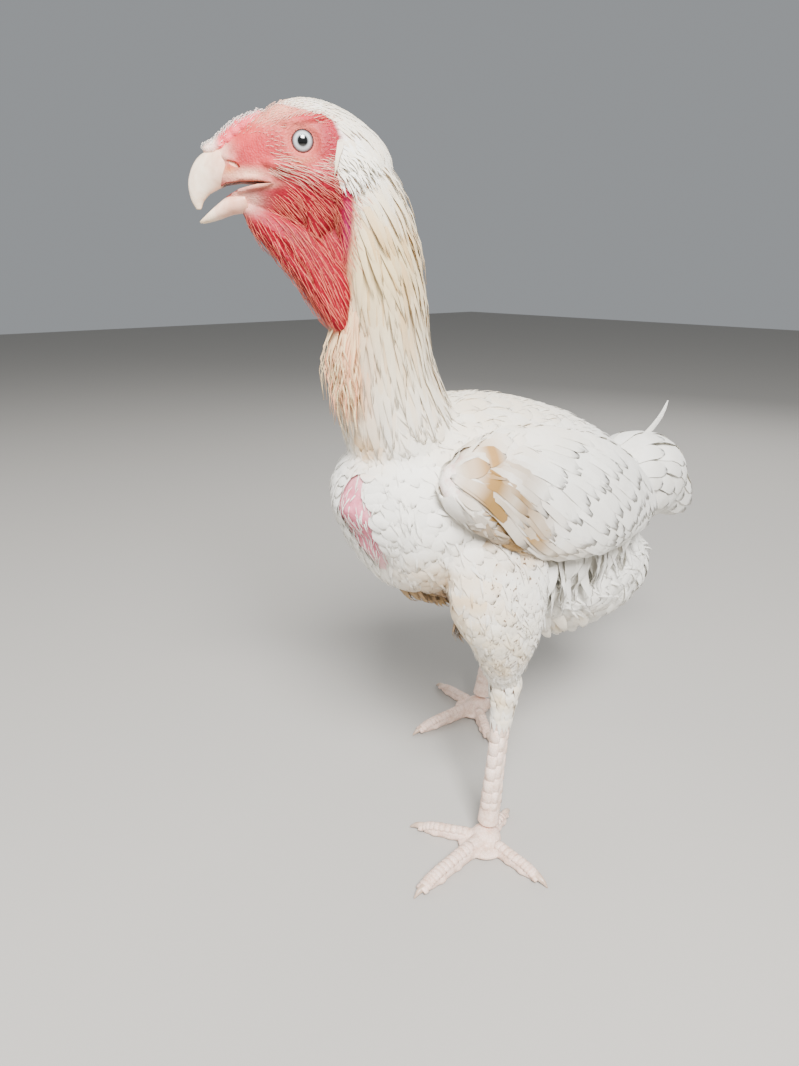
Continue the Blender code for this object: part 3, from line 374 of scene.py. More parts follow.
# Zones of the face's bristles: from and to ahead, from and to up, and the spacing there
FAR = 1.0
BRISTLE_ZONES = (
    (-FAR, FAR, -FAR, -0.036, 0.0026),
    (-FAR, FAR, -0.020, -0.008, 0.0015),
    (-FAR, 0.030, 0.0085, FAR, 0.0013),
    (-FAR, -0.006, -0.006, 0.0085, 0.0027),
    (-FAR, FAR, -FAR, FACE_END, 0.0),
    (0.022, FAR, -0.036, 0.004, 0.0),
    (0.012, FAR, -0.026, -0.016, 0.0),
)

# Lamps: place, size and power
LAMPS = (
    ("window", (1.2, -0.9, 1.6), 0.7, 150.0),
    ("fill", (-1.4, -1.6, 1.2), 1.6, 22.0),
    ("back", (-0.6, 1.6, 1.4), 1.2, 22.0),
)
LAMPS_AIM = Vector((0.0, 0.0, 0.3))
CAMERA_PLACE = (0.4441, -0.4759, 0.4700)
CAMERA_WAY = Vector((-0.7243, 0.6078, -0.3256))


# Forms


def smoothed(rows, steps):
    """The rows with steps more between each two, on a smooth curve through them all."""
    known = np.array(rows, dtype=float)
    padded = np.vstack((2 * known[0] - known[1], known, 2 * known[-1] - known[-2]))
    drawn = []
    for index in range(1, len(padded) - 2):
        before, start, end, after = padded[index - 1 : index + 3]
        for step in range(steps):
            share = step / steps
            square = share * share
            bend = (2 * before - 5 * start + 4 * end - after) * square
            swing = (3 * start - before - 3 * end + after) * square * share
            drawn.append(0.5 * (2 * start + (end - before) * share + bend + swing))
    drawn.append(known[-1])
    return drawn


def form_rows(rows, sideways, steps):
    """Frames along a swept form: centre, heading, side, rise, half width and reach up and down."""
    drawn = smoothed(rows, steps)
    centres = [Vector(row[:3]) for row in drawn]
    frames = []
    for index, row in enumerate(drawn):
        first = centres[max(index - 1, 0)]
        last = centres[min(index + 1, len(drawn) - 1)]
        along = (last - first).normalized()
        side = (sideways - along * sideways.dot(along)).normalized()
        frames.append((centres[index], along, side, side.cross(along), row[3], row[4], row[5]))
    return frames


def linked(name, mesh):
    made = bpy.data.objects.new(name, mesh)
    bpy.context.scene.collection.objects.link(made)
    return made


def drawn_piece(name, corners, faces):
    mesh = bpy.data.meshes.new(name)
    mesh.from_pydata(corners, [], faces)
    return linked(name, mesh)


def ring_faces(rings, count):
    """The faces that join rings of points into a closed form."""
    faces = []
    for ring in range(rings - 1):
        for step in range(count):
            after = (step + 1) % count
            faces.append([ring * count + corner for corner in (step, after, count + after, count + step)])
    return faces + [list(reversed(range(count))), list(range((rings - 1) * count, rings * count))]


def face_out(piece):
    """Turns every face outwards."""
    mesh = bmesh.new()
    mesh.from_mesh(piece.data)
    mesh.normal_update()
    bmesh.ops.recalc_face_normals(mesh, faces=mesh.faces)
    mesh.to_mesh(piece.data)
    mesh.free()


def moved(piece, place):
    piece.data.transform(place)
    face_out(piece)
    return piece


def lofted(name, rows, sideways, steps, count, depth=0.0, pinch=0.0):
    """A closed form through the outlines of its rows, drawn in by a depth."""
    corners = []
    for centre, _, side, rise, half, up, down in form_rows(rows, sideways, steps):
        for step in range(count):
            angle = math.tau * step / count
            lift = math.sin(angle)
            across = max(half - depth, half * LEAST_CORE) * math.cos(angle)
            if lift < 0:
                across *= 1.0 - pinch * lift * lift
            reach = up if lift > 0 else down
            corners.append(centre + side * across + rise * (lift * max(reach - depth, reach * LEAST_CORE)))
    made = drawn_piece(name, corners, ring_faces(len(corners) // count, count))
    face_out(made)
    return made


def pick(*pieces):
    bpy.ops.object.select_all(action="DESELECT")
    for piece in pieces:
        piece.select_set(True)
    bpy.context.view_layer.objects.active = pieces[0]


def apply_all(piece):
    pick(piece)
    for change in list(piece.modifiers):
        bpy.ops.object.modifier_apply(modifier=change.name)


def join_pieces(name, pieces):
    pick(*pieces)
    bpy.ops.object.join()
    made = bpy.context.view_layer.objects.active
    made.name = name
    return made


def melted(piece, voxel, smoothing):
    """One skin over overlapping closed forms."""
    melt = piece.modifiers.new("melt", "REMESH")
    melt.mode = "VOXEL"
    melt.voxel_size = voxel
    melt.use_smooth_shade = True
    soften = piece.modifiers.new("soften", "SMOOTH")
    soften.factor = 0.5
    soften.iterations = smoothing
    apply_all(piece)
    return piece


def swelling(centre, radii, turn=None, segments=20, rings=12):
    """An egg-shaped swelling from a sphere."""
    bpy.ops.object.select_all(action="DESELECT")
    bpy.ops.mesh.primitive_uv_sphere_add(segments=segments, ring_count=rings, radius=1.0)
    made = bpy.context.active_object
    place = Matrix.Translation(centre)
    if turn is not None:
        place = place @ turn
    made.data.transform(place @ Matrix.Diagonal((*radii, 1.0)))
    return made


def hoop(place, radius, thickness):
    """An upright ring, a little lower than wide."""
    bpy.ops.object.select_all(action="DESELECT")
    bpy.ops.mesh.primitive_torus_add(
        major_segments=32, minor_segments=8, major_radius=radius, minor_radius=thickness
    )
    made = bpy.context.active_object
    made.data.transform(place @ Matrix.Diagonal((1.0, LID_SQUASH, 1.0, 1.0)))
    return made


def cut_from(piece, cutter):
    change = piece.modifiers.new("opening", "BOOLEAN")
    change.operation = "DIFFERENCE"
    change.object = cutter
    change.solver = "EXACT"
    apply_all(piece)
    bpy.data.objects.remove(cutter, do_unlink=True)


def head_frame():
    """Turns measures ahead, to the left and up from between the eyes into the model's own."""
    ahead = Vector((-math.sin(HEAD_TURN), -math.cos(HEAD_TURN), 0.0))
    left = Vector((math.cos(HEAD_TURN), -math.sin(HEAD_TURN), 0.0))
    turned = Matrix((ahead, left, Vector((0.0, 0.0, 1.0)))).transposed().to_4x4()
    turned.translation = HEAD_MIDDLE
    return turned


HEAD = head_frame()
HEAD_BACK = np.array(HEAD.inverted())
HEAD_WAYS = np.array(HEAD.to_3x3()).T


def to_head(places):
    """Places ahead of, to the left of and above the middle between the eyes."""
    return places @ HEAD_BACK[:3, :3].T + HEAD_BACK[:3, 3]


def face_half_width(ahead, level):
    """Half width of the head at a distance ahead of the eyes and a level."""
    distances, *columns = zip(*reversed(HEAD_ROWS))
    middle, half, up, down = [np.interp(ahead, distances, column) for column in columns]
    rise = level - middle
    lift = max(-1.0, min(1.0, rise / (up if rise > 0 else down)))
    width = half * math.sqrt(1.0 - lift * lift)
    if lift < 0:
        width *= 1.0 - JAW_PINCH * lift * lift
    return width


# Finishes

PLAIN = (1.0, 1.0, 1.0)


class Finish:
    """A material on a piece's own coordinates, built from parts that take values or sockets."""

    def __init__(self, name, values):
        self.material = bpy.data.materials.new(name)
        self.material.use_nodes = True
        self.nodes = self.material.node_tree.nodes
        self.shader = self.nodes["Principled BSDF"]
        self.feed(self.shader, values)

    def feed(self, node, values):
        for name, value in values.items():
            entry = node.inputs[name]
            if isinstance(value, bpy.types.NodeSocket):
                self.material.node_tree.links.new(value, entry)
            elif entry.type == "RGBA":
                entry.default_value = (*value, 1.0)
            else:
                entry.default_value = value

    def add(self, kind, values, **settings):
        node = self.nodes.new(kind)
        for name, value in settings.items():
            setattr(node, name, value)
        self.feed(node, values)
        return node.outputs

    def place(self):
        return self.add("ShaderNodeTexCoord", {})["Object"]

    def tint(self):
        return self.add("ShaderNodeAttribute", {}, attribute_name="tint")["Color"]

    def noise(self, place, scale, detail=4.0):
        values = {"Vector": place, "Scale": scale, "Detail": detail, "Roughness": 0.6}
        return self.add("ShaderNodeTexNoise", values)["Fac"]

    def cells(self, place, scale, feature="F1"):
        values = {"Vector": place, "Scale": scale}
        return self.add("ShaderNodeTexVoronoi", values, feature=feature)["Distance"]

    def ramp(self, source, *stops):
        """Two colours with a smooth passage between their places."""
        ramp = self.nodes.new("ShaderNodeValToRGB")
        for element, (place, colour) in zip(ramp.color_ramp.elements, stops):
            element.position = place
            element.color = (*colour, 1.0)
        self.feed(ramp, {"Fac": source})
        return ramp.outputs["Color"]

    def blend(self, share, first, second, kind="MULTIPLY"):
        values = {"Factor": share, "A": first, "B": second}
        return self.add("ShaderNodeMix", values, data_type="RGBA", blend_type=kind)["Result"]

    def relief(self, height, strength, distance, before=None):
        values = {"Strength": strength, "Distance": distance, "Height": height}
        if before is not None:
            values["Normal"] = before
        normal = self.add("ShaderNodeBump", values)["Normal"]
        self.feed(self.shader, {"Normal": normal})
        return normal

    def reckon(self, operation, *values):
        return self.add("ShaderNodeMath", dict(enumerate(values)), operation=operation)[0]

    def barbs(self):
        """Fine barbs that slant back from the shaft on each side, read from a feather's own map."""
        own = self.add("ShaderNodeUVMap", {}, uv_map="barbs")["UV"]
        parts = self.add("ShaderNodeSeparateXYZ", {"Vector": own})
        from_shaft = self.reckon("ABSOLUTE", self.reckon("SUBTRACT", parts["X"], 0.5))
        slanted = self.reckon("MULTIPLY_ADD", from_shaft, -BARB_SLANT, parts["Y"])
        return self.reckon("SINE", self.reckon("MULTIPLY", slanted, BARB_WAVES))


def feather_finish(name, roughness, streak, flecked=False, sheen=0.15):
    """Feather: its tint from the plumage, broken by soft clouds, fine barbs and sometimes dark flecks."""
    finish = Finish(name, {"Roughness": roughness, "Sheen Weight": sheen, "Sheen Roughness": 0.5})
    place = finish.place()
    clouds = finish.ramp(finish.noise(place, 60.0), (0.25, (0.88, 0.86, 0.82)), (0.6, PLAIN))
    colour = finish.blend(0.6, finish.tint(), clouds)
    if flecked:
        flecks = finish.ramp(finish.noise(place, 300.0, 2.0), (0.62, PLAIN), (0.66, (0.20, 0.13, 0.08)))
        colour = finish.blend(1.0, colour, flecks)
    barbs = finish.barbs()
    colour = finish.blend(1.0, colour, finish.ramp(barbs, (0.0, (1 - streak,) * 3), (0.6, PLAIN)))
    finish.feed(finish.shader, {"Base Color": colour})
    finish.relief(barbs, 0.35, 0.0004)
    return finish.material


def under_skin(weight, blue, red, green=0.0012):
    """Light that passes under the surface: how much of it, and how far each colour goes."""
    return {"Subsurface Weight": weight, "Subsurface Radius": (red, green, blue)}


def skin_finish(name, roughness, pore_scale, pore_strength, glow):
    """Bare skin: its tint broken by fine veins and blotches, with pores and creases as relief."""
    finish = Finish(name, {"Roughness": roughness, "Specular IOR Level": 0.25, **under_skin(glow, 0.0008, 0.004)})
    place = finish.place()
    blotches = finish.ramp(finish.noise(place, 180.0, 6.0), (0.3, (0.66, 0.44, 0.46)), (0.62, PLAIN))
    colour = finish.blend(0.75, finish.tint(), blotches)
    pale = finish.ramp(finish.noise(place, 700.0, 3.0), (0.5, (0, 0, 0)), (0.8, (0.08, 0.0, 0.01)))
    finish.feed(finish.shader, {"Base Color": finish.blend(0.6, colour, pale, "ADD"), "Subsurface Scale": 0.5})
    first = finish.relief(finish.cells(place, pore_scale), pore_strength, 0.0006)
    finish.relief(finish.noise(place, 420.0, 5.0), pore_strength, 0.0008, first)
    return finish.material


def horn_finish(name, dark_stop, light_place, roughness, streak_scale):
    """Horn: long streaks along the growth over its tint, smooth and faintly glossy."""
    shine = {"Roughness": roughness, "Coat Weight": 0.25, "Coat Roughness": 0.3}
    finish = Finish(name, {**shine, **under_skin(0.08, 0.0015, 0.003, 0.002)})
    along = {"Vector": finish.place(), "Rotation": (0.0, 0.0, HEAD_TURN), "Scale": (1.0, 0.25, 0.5)}
    streaks = finish.noise(finish.add("ShaderNodeMapping", along)["Vector"], streak_scale, 5.0)
    colour = finish.blend(0.8, finish.tint(), finish.ramp(streaks, dark_stop, (light_place, PLAIN)))
    finish.feed(finish.shader, {"Base Color": colour})
    finish.relief(streaks, 0.25, 0.0003)
    return finish.material


def scale_finish(name):
    """Leg scales: pinkish white plates with brownish dirt in the furrows between them."""
    finish = Finish(name, {"Roughness": 0.55, **under_skin(0.06, 0.001, 0.003)})
    place = finish.place()
    cells = finish.cells(place, 420.0, "DISTANCE_TO_EDGE")
    furrows = finish.ramp(cells, (0.0, (0.62, 0.48, 0.40)), (0.14, PLAIN))
    dirt = finish.ramp(finish.noise(place, 150.0, 7.0), (0.42, PLAIN), (0.75, (0.66, 0.54, 0.42)))
    colour = finish.blend(0.7, finish.blend(0.40, finish.tint(), furrows), dirt)
    finish.feed(finish.shader, {"Base Color": colour})
    finish.relief(cells, 0.6, 0.0006)
    return finish.material


def eye_finish():
    """The eye's tint under a clear coat."""
    finish = Finish("pearl_eye", {"Roughness": 0.12, "Coat Weight": 1.0, "Coat Roughness": 0.03})
    finish.feed(finish.shader, {"Base Color": finish.tint()})
    return finish.material


PLUME = feather_finish("white_plumage", 0.78, 0.07)
HACKLE_PLUME = feather_finish("cream_hackle", 0.62, 0.12)
DOWN = feather_finish("soft_down", 0.85, 0.05)
THIGH_PLUME = feather_finish("flecked_plumage", 0.78, 0.05, True)
BRISTLE = feather_finish("pale_bristle", 0.6, 0.0, sheen=0.0)
FACE_SKIN = skin_finish("red_face_skin", 0.52, 900.0, 0.45, 0.05)
BODY_SKIN = skin_finish("pale_body_skin", 0.7, 500.0, 0.3, 0.0)
COMB_SKIN = skin_finish("comb_skin", 0.5, 1100.0, 0.5, 0.12)
BEAK_HORN = horn_finish("ivory_bill", (0.3, (0.76, 0.64, 0.56)), 0.6, 0.32, 260.0)
CLAW_HORN = horn_finish("claw_horn", (0.3, (0.66, 0.56, 0.48)), 0.65, 0.4, 300.0)
LEG_SCALES = scale_finish("leg_scales")
PEARL = eye_finish()


# Markings: colour of the bird at any place, the same for skin and coat


def mixed(first, second, share):
    """One colour passing into another as the share grows from nothing to one."""
    return np.asarray(first) * (1 - share) + np.asarray(second) * share


def eased(values, start, length):
    """Grows from nothing at the start to one a length further on. A length below nothing turns it round."""
    return np.clip((values - start) / length, 0, 1)


def column(values):
    return values[:, None]


def bell(places, centre, reach, steepness):
    """How strongly a marking shows at each place, from one at its centre."""
    return np.exp(-steepness * (((places - np.array(centre)) / np.array(reach)) ** 2).sum(axis=1))


def fall_off(places, centre, reach):
    return bell(places - np.array(SHIFT), centre, reach, 1.4)


def mottle(places):
    """Uneven dirt: slow ripples over the plumage that make a stain stronger here and weaker there."""
    first = np.sin(places @ np.array((310.0, 170.0, 90.0)))
    second = np.sin(places @ np.array((-120.0, 260.0, 330.0)) + 1.3)
    return 0.9 + 0.25 * (first + second)


def plumage_tint(places, seeds):
    """White to cream plumage with its stains. Seeds from nothing to one make each feather its own."""
    height = column(eased(places[:, 2], *HACKLE_RISE))
    nape = column(eased(places[:, 2], *NAPE_RISE))
    colour = mixed(mixed(WHITE, CREAM, height), WHITE, 0.75 * nape)
    # Some feathers up the neck are painted beige at random: partly their own tone, partly painted shade between the
    # strands
    colour = mixed(colour, BEIGE_AND_SHADE, height * (1 - 0.7 * nape) * column(np.clip(seeds * 2.4 - 1.1, 0, 1)) * 0.8)
    colour = colour * column(0.90 + 0.10 * seeds)
    uneven = mottle(places)
    for centre, reach, stain, strength in STAINS:
        share = strength * fall_off(places, centre, reach) * (0.4 + 0.8 * seeds) * uneven
        colour = mixed(colour, stain, column(np.clip(share, 0, 1)))
    return colour


def tints_along(paths, seeds):
    """The plumage tint at each point of each path."""
    count, rows = paths.shape[:2]
    return plumage_tint(paths.reshape(-1, 3), np.repeat(seeds, rows)).reshape(count, rows, 3)


def face_edge(local):
    return np.interp(local[:, 2], FACE_EDGE_LEVELS, FACE_EDGE_PLACES)


def face_colour(local):
    """Red to pink bare skin at places given ahead of, beside and above the eyes."""
    colour = np.tile(FACE_BASE, (len(local), 1))
    mirrored = local.copy()
    mirrored[:, 1] = np.abs(mirrored[:, 1])
    for centre, reach, tint, strength in FACE_TINTS:
        share = np.clip(strength * bell(mirrored, centre, reach, 1.2), 0, 1)
        colour = mixed(colour, tint, column(share))
    return colour


# Feathers


def strewn(shape, amount):
    """Random offsets on both sides of nothing, spread evenly over the amount."""
    return amount * (CHANCE.random(shape) - 0.5)


def read_out(items, what, width, kind=float):
    """One measure of all items of a mesh, as rows of numbers."""
    values = np.empty(len(items) * width, dtype=kind)
    items.foreach_get(what, values)
    return values.reshape(-1, width)


def set_tint(mesh, tint):
    colours = np.concatenate((tint, np.ones((len(tint), 1))), axis=1)
    layer = mesh.attributes.new("tint", "FLOAT_COLOR", "POINT")
    layer.data.foreach_set("color", colours.astype(np.float32).ravel())


def unit(vectors):
    return vectors / (np.linalg.norm(vectors, axis=-1, keepdims=True) + 1e-12)


def planted(name, paths, outs, widths, bake, tints, finish, thickness, camber, fray):
    """Thin closed vanes joined in one piece, each along its own path of points."""
    count, rows = paths.shape[:2]
    ahead = np.gradient(paths, axis=1)
    side = unit(np.cross(outs, ahead))
    out = unit(np.cross(ahead, side))
    left = widths * (1 + strewn((count, rows), fray)) / 2
    right = widths * (1 + strewn((count, rows), fray)) / 2
    ridge = out * (camber * widths)[..., None]
    half = out * (thickness / 2)
    rings = np.stack(
        (paths - side * left[..., None], paths + ridge + half, paths + side * right[..., None], paths + ridge - half),
        axis=2,
    )
    corners = rings.reshape(-1, 3)
    quads = np.array(ring_faces(rows, 4))
    faces = (quads[None] + (np.arange(count) * rows * 4)[:, None, None]).reshape(-1, 4)
    mesh = bpy.data.meshes.new(name)
    mesh.vertices.add(len(corners))
    mesh.vertices.foreach_set("co", corners.astype(np.float32).ravel())
    mesh.loops.add(faces.size)
    mesh.loops.foreach_set("vertex_index", faces.astype(np.int32).ravel())
    mesh.polygons.add(len(faces))
    mesh.polygons.foreach_set("loop_start", np.arange(0, faces.size, 4, dtype=np.int32))
    mesh.update(calc_edges=True)
    local = np.stack((np.tile((0.0, 0.5, 1.0, 0.5), rows), np.repeat(np.linspace(0, 1, rows), 4)), axis=1)
    barbs = local[quads.ravel()]
    baked = (bake[:, None, :] + (barbs - 0.5)[None] * BAKE_PATCH).reshape(-1, 2)
    for layer_name, values in (("OFBake", baked), ("barbs", np.tile(barbs, (count, 1)))):
        layer = mesh.uv_layers.new(name=layer_name)
        layer.data.foreach_set("uv", values.astype(np.float32).ravel())
    if tints.ndim == 2:
        tints = np.repeat(tints[:, None], rows, axis=1)
    set_tint(mesh, np.repeat(tints.reshape(-1, 3), 4, axis=0))
    mesh.materials.append(finish)
    mesh.shade_smooth()
    # The two edges of a vane stay keen, and its back and front are smooth
    ends = read_out(mesh.edges, "vertices", 2, np.int32) % 4
    keen = (ends[:, 0] == ends[:, 1]) & (ends[:, 0] % 2 == 0)
    mesh.attributes.new("sharp_edge", "BOOLEAN", "EDGE").data.foreach_set("value", keen)
    return linked(name, mesh)


class Surface:
    """A skin to plant on: its faces, smooth normals and its unwrap."""

    def __init__(self, *pieces):
        points, normals, triangles, unwraps = [], [], [], []
        for piece in pieces:
            mesh = piece.data
            mesh.calc_loop_triangles()
            corners = read_out(mesh.loop_triangles, "vertices", 3, np.int32)
            loops = read_out(mesh.loop_triangles, "loops", 3, np.int32)
            unwrap = read_out(mesh.uv_layers["OFBake"].data, "uv", 2)
            triangles.append(corners + sum(len(part) for part in points))
            unwraps.append(unwrap[loops].mean(axis=1))
            points.append(read_out(mesh.vertices, "co", 3))
            normals.append(read_out(mesh.vertices, "normal", 3))
        self.points = np.concatenate(points)
        self.normals = np.concatenate(normals)
        self.triangles = np.concatenate(triangles)
        self.unwrap = np.concatenate(unwraps)
        self.tree = BVHTree.FromPolygons(self.points.tolist(), self.triangles.tolist())

    def roots(self, spacing_of, tries):
        """Places spread over the skin no closer than their own spacing, with the faces they are on."""
        corners = self.points[self.triangles]
        areas = np.linalg.norm(np.cross(corners[:, 1] - corners[:, 0], corners[:, 2] - corners[:, 0]), axis=1)
        areas = areas * (spacing_of(corners.mean(axis=1)) > 0)
        faces = CHANCE.choice(len(areas), tries, p=areas / areas.sum())
        first, second = CHANCE.random((2, tries))
        over = first + second > 1
        first[over] = 1 - first[over]
        second[over] = 1 - second[over]
        base, one, two = np.moveaxis(corners[faces], 1, 0)
        places = base + (one - base) * first[:, None] + (two - base) * second[:, None]
        spacing = spacing_of(places)
        wanted = spacing > 0
        places, faces, spacing = places[wanted], faces[wanted], spacing[wanted]
        taken = {}
        kept = []
        for index, (place, gap) in enumerate(zip(places, spacing)):
            key = tuple((place // ROOT_CELL).astype(int))
            steps = range(-int(gap // ROOT_CELL) - 1, int(gap // ROOT_CELL) + 2)
            near = (
                other
                for x, y, z in itertools.product(steps, repeat=3)
                for other in taken.get((key[0] + x, key[1] + y, key[2] + z), ())
            )
            if all(((place - other) ** 2).sum() >= gap * gap for other in near):
                taken.setdefault(key, []).append(place)
                kept.append(index)
        return places[kept], faces[kept]

    def nearest(self, place):
        found, _, face, _ = self.tree.find_nearest(place)
        return np.array(found), unit(self.normals[self.triangles[face]].mean(axis=0))

    def faces_at(self, places):
        return [self.tree.find_nearest(Vector(place))[2] for place in places]

    def comb(self, places, headings, lengths, lifts, rows, hug, weight, sink=0.0012):
        """Paths that run along the skin from each root, rising to their lift at the tip."""
        paths = np.empty((len(places), rows, 3))
        outs = np.empty_like(paths)
        for index in range(len(places)):
            place, out = self.nearest(places[index])
            heading = headings[index]
            stride = lengths[index] / (rows - 1)
            for row in range(rows):
                share = row / (rows - 1)
                heading = unit(heading - out * heading.dot(out) * hug)
                rise = -sink + (lifts[index] + sink) * min(1.0, share * 1.5)
                paths[index, row] = place + out * rise
                outs[index, row] = out
                heading = heading + np.array((0.0, 0.0, -weight * share))
                ahead = place + heading * stride
                found, turned = self.nearest(ahead)
                place = ahead + (found - ahead) * hug
                out = out * (1 - hug) + turned * hug
        return paths, outs


# Body skin under the coat


def trunk_rows(rows):
    made = []
    for back, top, bottom, half in rows:
        middle = bottom + (top - bottom) * TRUNK_WIDEST
        made.append((0.0, back, middle, half, top - middle, middle - bottom))
    return made


def wing_place(side):
    return Matrix.Translation(WING_SHIFT[side]) @ Matrix.Diagonal((SIDES[side], 1.0, 1.0, 1.0))


WING_SIDEWAYS = Vector((math.cos(WING_LEAN), 0.0, math.sin(WING_LEAN)))
ACROSS = Vector((1, 0, 0))
UP = Vector((0, 0, 1))
TAIL_FORM = [(0.0, *row) for row in TAIL_ROWS]
FLUFF_FORM = [
    (0.0, back, (top + bottom) / 2, half, (top - bottom) / 2, (top - bottom) / 2)
    for back, top, bottom, half in FLUFF_ROWS
]


def make_skin():
    forms = [
        lofted("torso_form", trunk_rows(TRUNK_ROWS), ACROSS, 4, 40, COAT_DEPTH),
        lofted("neck_form", NECK_ROWS, ACROSS, 4, 32, CORE_DEPTH),
        lofted("tail_form", TAIL_FORM, ACROSS, 4, 28, CORE_DEPTH),
        lofted("fluff_form", FLUFF_FORM, ACROSS, 4, 28, CORE_DEPTH),
    ]
    for side in SIDES:
        forms.append(lofted("thigh_form", THIGH_ROWS[side], ACROSS, 4, 28, COAT_DEPTH * 0.7))
        forms.append(moved(lofted("wing_form", WING_ROWS, WING_SIDEWAYS, 4, 28, CORE_DEPTH), wing_place(side)))
    skin = join_pieces("body_skin", forms)
    skin.data.transform(Matrix.Translation(SHIFT))
    return melted(skin, SKIN_VOXEL, 10)


def skin_tint(places):
    centre, reach, pink, strength = BREAST_PATCH
    patch = np.clip(strength * 1.6 * fall_off(places, centre, reach), 0, 1)
    colour = mixed(plumage_tint(places, np.full(len(places), 0.5)), pink, column(patch))
    local = to_head(places)
    bare = np.clip((local[:, 0] - face_edge(local)) / 0.002 + 0.5, 0, 1) * (local[:, 2] > FACE_END)
    return mixed(colour, face_colour(local), column(bare))


def declare(piece, nodes):
    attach(piece, "root")
    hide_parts(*nodes)


def dress(piece, tint_at, finish, nodes):
    """Unwraps, tints and finishes a piece, attaches it to the root and hides the parts it stands for."""
    pick(piece)
    piece.data.uv_layers.new(name="OFBake")
    bpy.ops.object.mode_set(mode="EDIT")
    bpy.ops.mesh.select_all(action="SELECT")
    bpy.ops.uv.smart_project(angle_limit=math.radians(66), island_margin=0.002)
    bpy.ops.object.mode_set(mode="OBJECT")
    set_tint(piece.data, tint_at(read_out(piece.data.vertices, "co", 3)))
    piece.data.materials.clear()
    piece.data.materials.append(finish)
    piece.data.shade_smooth()
    declare(piece, nodes)


body_skin = make_skin()
dress(body_skin, skin_tint, BODY_SKIN, FLESH)
SKIN = Surface(body_skin)


# Lie of the coat: guides give the heading, length, width, spacing and lift of the feathers near them


def guide_table():
    """Rows of guides: place, reach, heading, length, width, spacing, lift and region."""
    table = []
    for back, top, bottom, _ in TRUNK_ROWS:
        middle = bottom + (top - bottom) * TRUNK_WIDEST
        front = back < -0.07
        heading = (0, 0.35, -1) if front else (0, 1, -0.22)
        size = (0.026, 0.0150, 0.0054) if front else (0.033, 0.0180, 0.0062)
        for drop in (0.35, -0.35):
            table.append(((0.0, back, middle + drop * (top - bottom)), 0.055, heading, *size, 0.0018, BODY))
    for index, row in enumerate(NECK_ROWS):
        after = NECK_ROWS[max(index - 1, 0)]
        before = NECK_ROWS[min(index + 1, len(NECK_ROWS) - 1)]
        heading = np.array(after[:3]) - np.array(before[:3])
        share = index / (len(NECK_ROWS) - 1)
        size = (0.062 - 0.036 * max(0.0, share - 0.45) / 0.55, 0.0062 - 0.0026 * share, 0.0030 - 0.0009 * share)
        table.append((row[:3], 0.030 - 0.008 * share, heading, *size, 0.0022, HACKLE))
    for rows in THIGH_ROWS.values():
        heading = np.array(rows[-1][:3]) - np.array(rows[0][:3]) + np.array((0, 0.03, 0))
        for index, row in enumerate(rows[1:]):
            share = index / 5
            size = (0.025 - 0.012 * share, 0.0135 - 0.006 * share, 0.0050 - 0.0021 * share)
            table.append((row[:3], 0.034 - 0.014 * share, heading, *size, 0.0017, THIGH))
    for row in FLUFF_FORM[1:]:
        table.append((row[:3], 0.042, (0, 0.15, -1), 0.042, 0.0090, 0.0052, 0.0130, FLUFF))
    for row in TAIL_FORM[1:]:
        table.append((row[:3], 0.030, (0, 1, -0.5), 0.034, 0.0170, 0.0060, 0.0040, TAIL))
    for side in SIDES:
        for row in WING_ROWS:
            place = tuple(wing_place(side) @ Vector(row[:3]))
            table.append((place, 0.034, (0, 1, -0.45), 0.024, 0.0140, 0.0052, 0.0024, WING))
    return table


GUIDES = guide_table()
GUIDE_PLACES = np.array([row[0] for row in GUIDES]) + np.array(SHIFT)
GUIDE_REACH = np.array([row[1] for row in GUIDES])
GUIDE_HEADINGS = np.array([np.array(row[2], float) / np.linalg.norm(row[2]) for row in GUIDES])
GUIDE_SIZES = np.array([row[3:7] for row in GUIDES])
GUIDE_REGIONS = np.array([row[7] for row in GUIDES])


def coat_at(places):
    """Heading, sizes and region of the coat at each place."""
    away = np.linalg.norm(places[:, None] - GUIDE_PLACES[None], axis=2) / GUIDE_REACH[None]
    weights = np.exp(-3.0 * away**2) + 1e-12
    weights /= weights.sum(axis=1, keepdims=True)
    regions = np.stack([weights[:, GUIDE_REGIONS == region].sum(axis=1) for region in range(6)], axis=1)
    return weights @ GUIDE_HEADINGS, weights @ GUIDE_SIZES, regions.argmax(axis=1)


def bare_share(places):
    return fall_off(places, *BREAST_PATCH[:2])


def from_ear(local):
    return np.linalg.norm(np.abs(local) - np.abs(np.array(EAR_PLACE)), axis=1)


def coat_spacing(places):
    _, sizes, regions = coat_at(places)
    spacing = sizes[:, 2].copy()
    local = to_head(places)
    under_face = (local[:, 0] > face_edge(local) - 0.0005) & (local[:, 2] > FACE_END)
    under_tiers = (regions == WING) & (places[:, 1] > SHIFT.y - 0.030)
    spacing[(bare_share(places) > BALD_FROM) | under_face | under_tiers | (from_ear(local) < 0.010)] = 0.0
    return spacing


def lay(name, skin, plan, roots, faces, headings, lengths, lifts, widths, tints, nodes):
    """Plants vanes on a skin: combs them from their roots, and builds and dresses them as one piece."""
    outline, finish, hold, build, slot = plan
    paths, outs = skin.comb(roots, headings, lengths, lifts, len(outline), *hold)
    if tints.ndim == 1:
        tints = tints_along(paths, tints)
    widths = widths[:, None] * np.array(outline)
    declare(planted(name, paths, outs, widths, skin.unwrap[faces], tints, finish, *build), nodes)


def lie(count, heading, amount):
    """A heading for each of many strands, strewn about the common one."""
    return np.tile(np.array(heading), (count, 1)) + strewn((count, 3), amount)


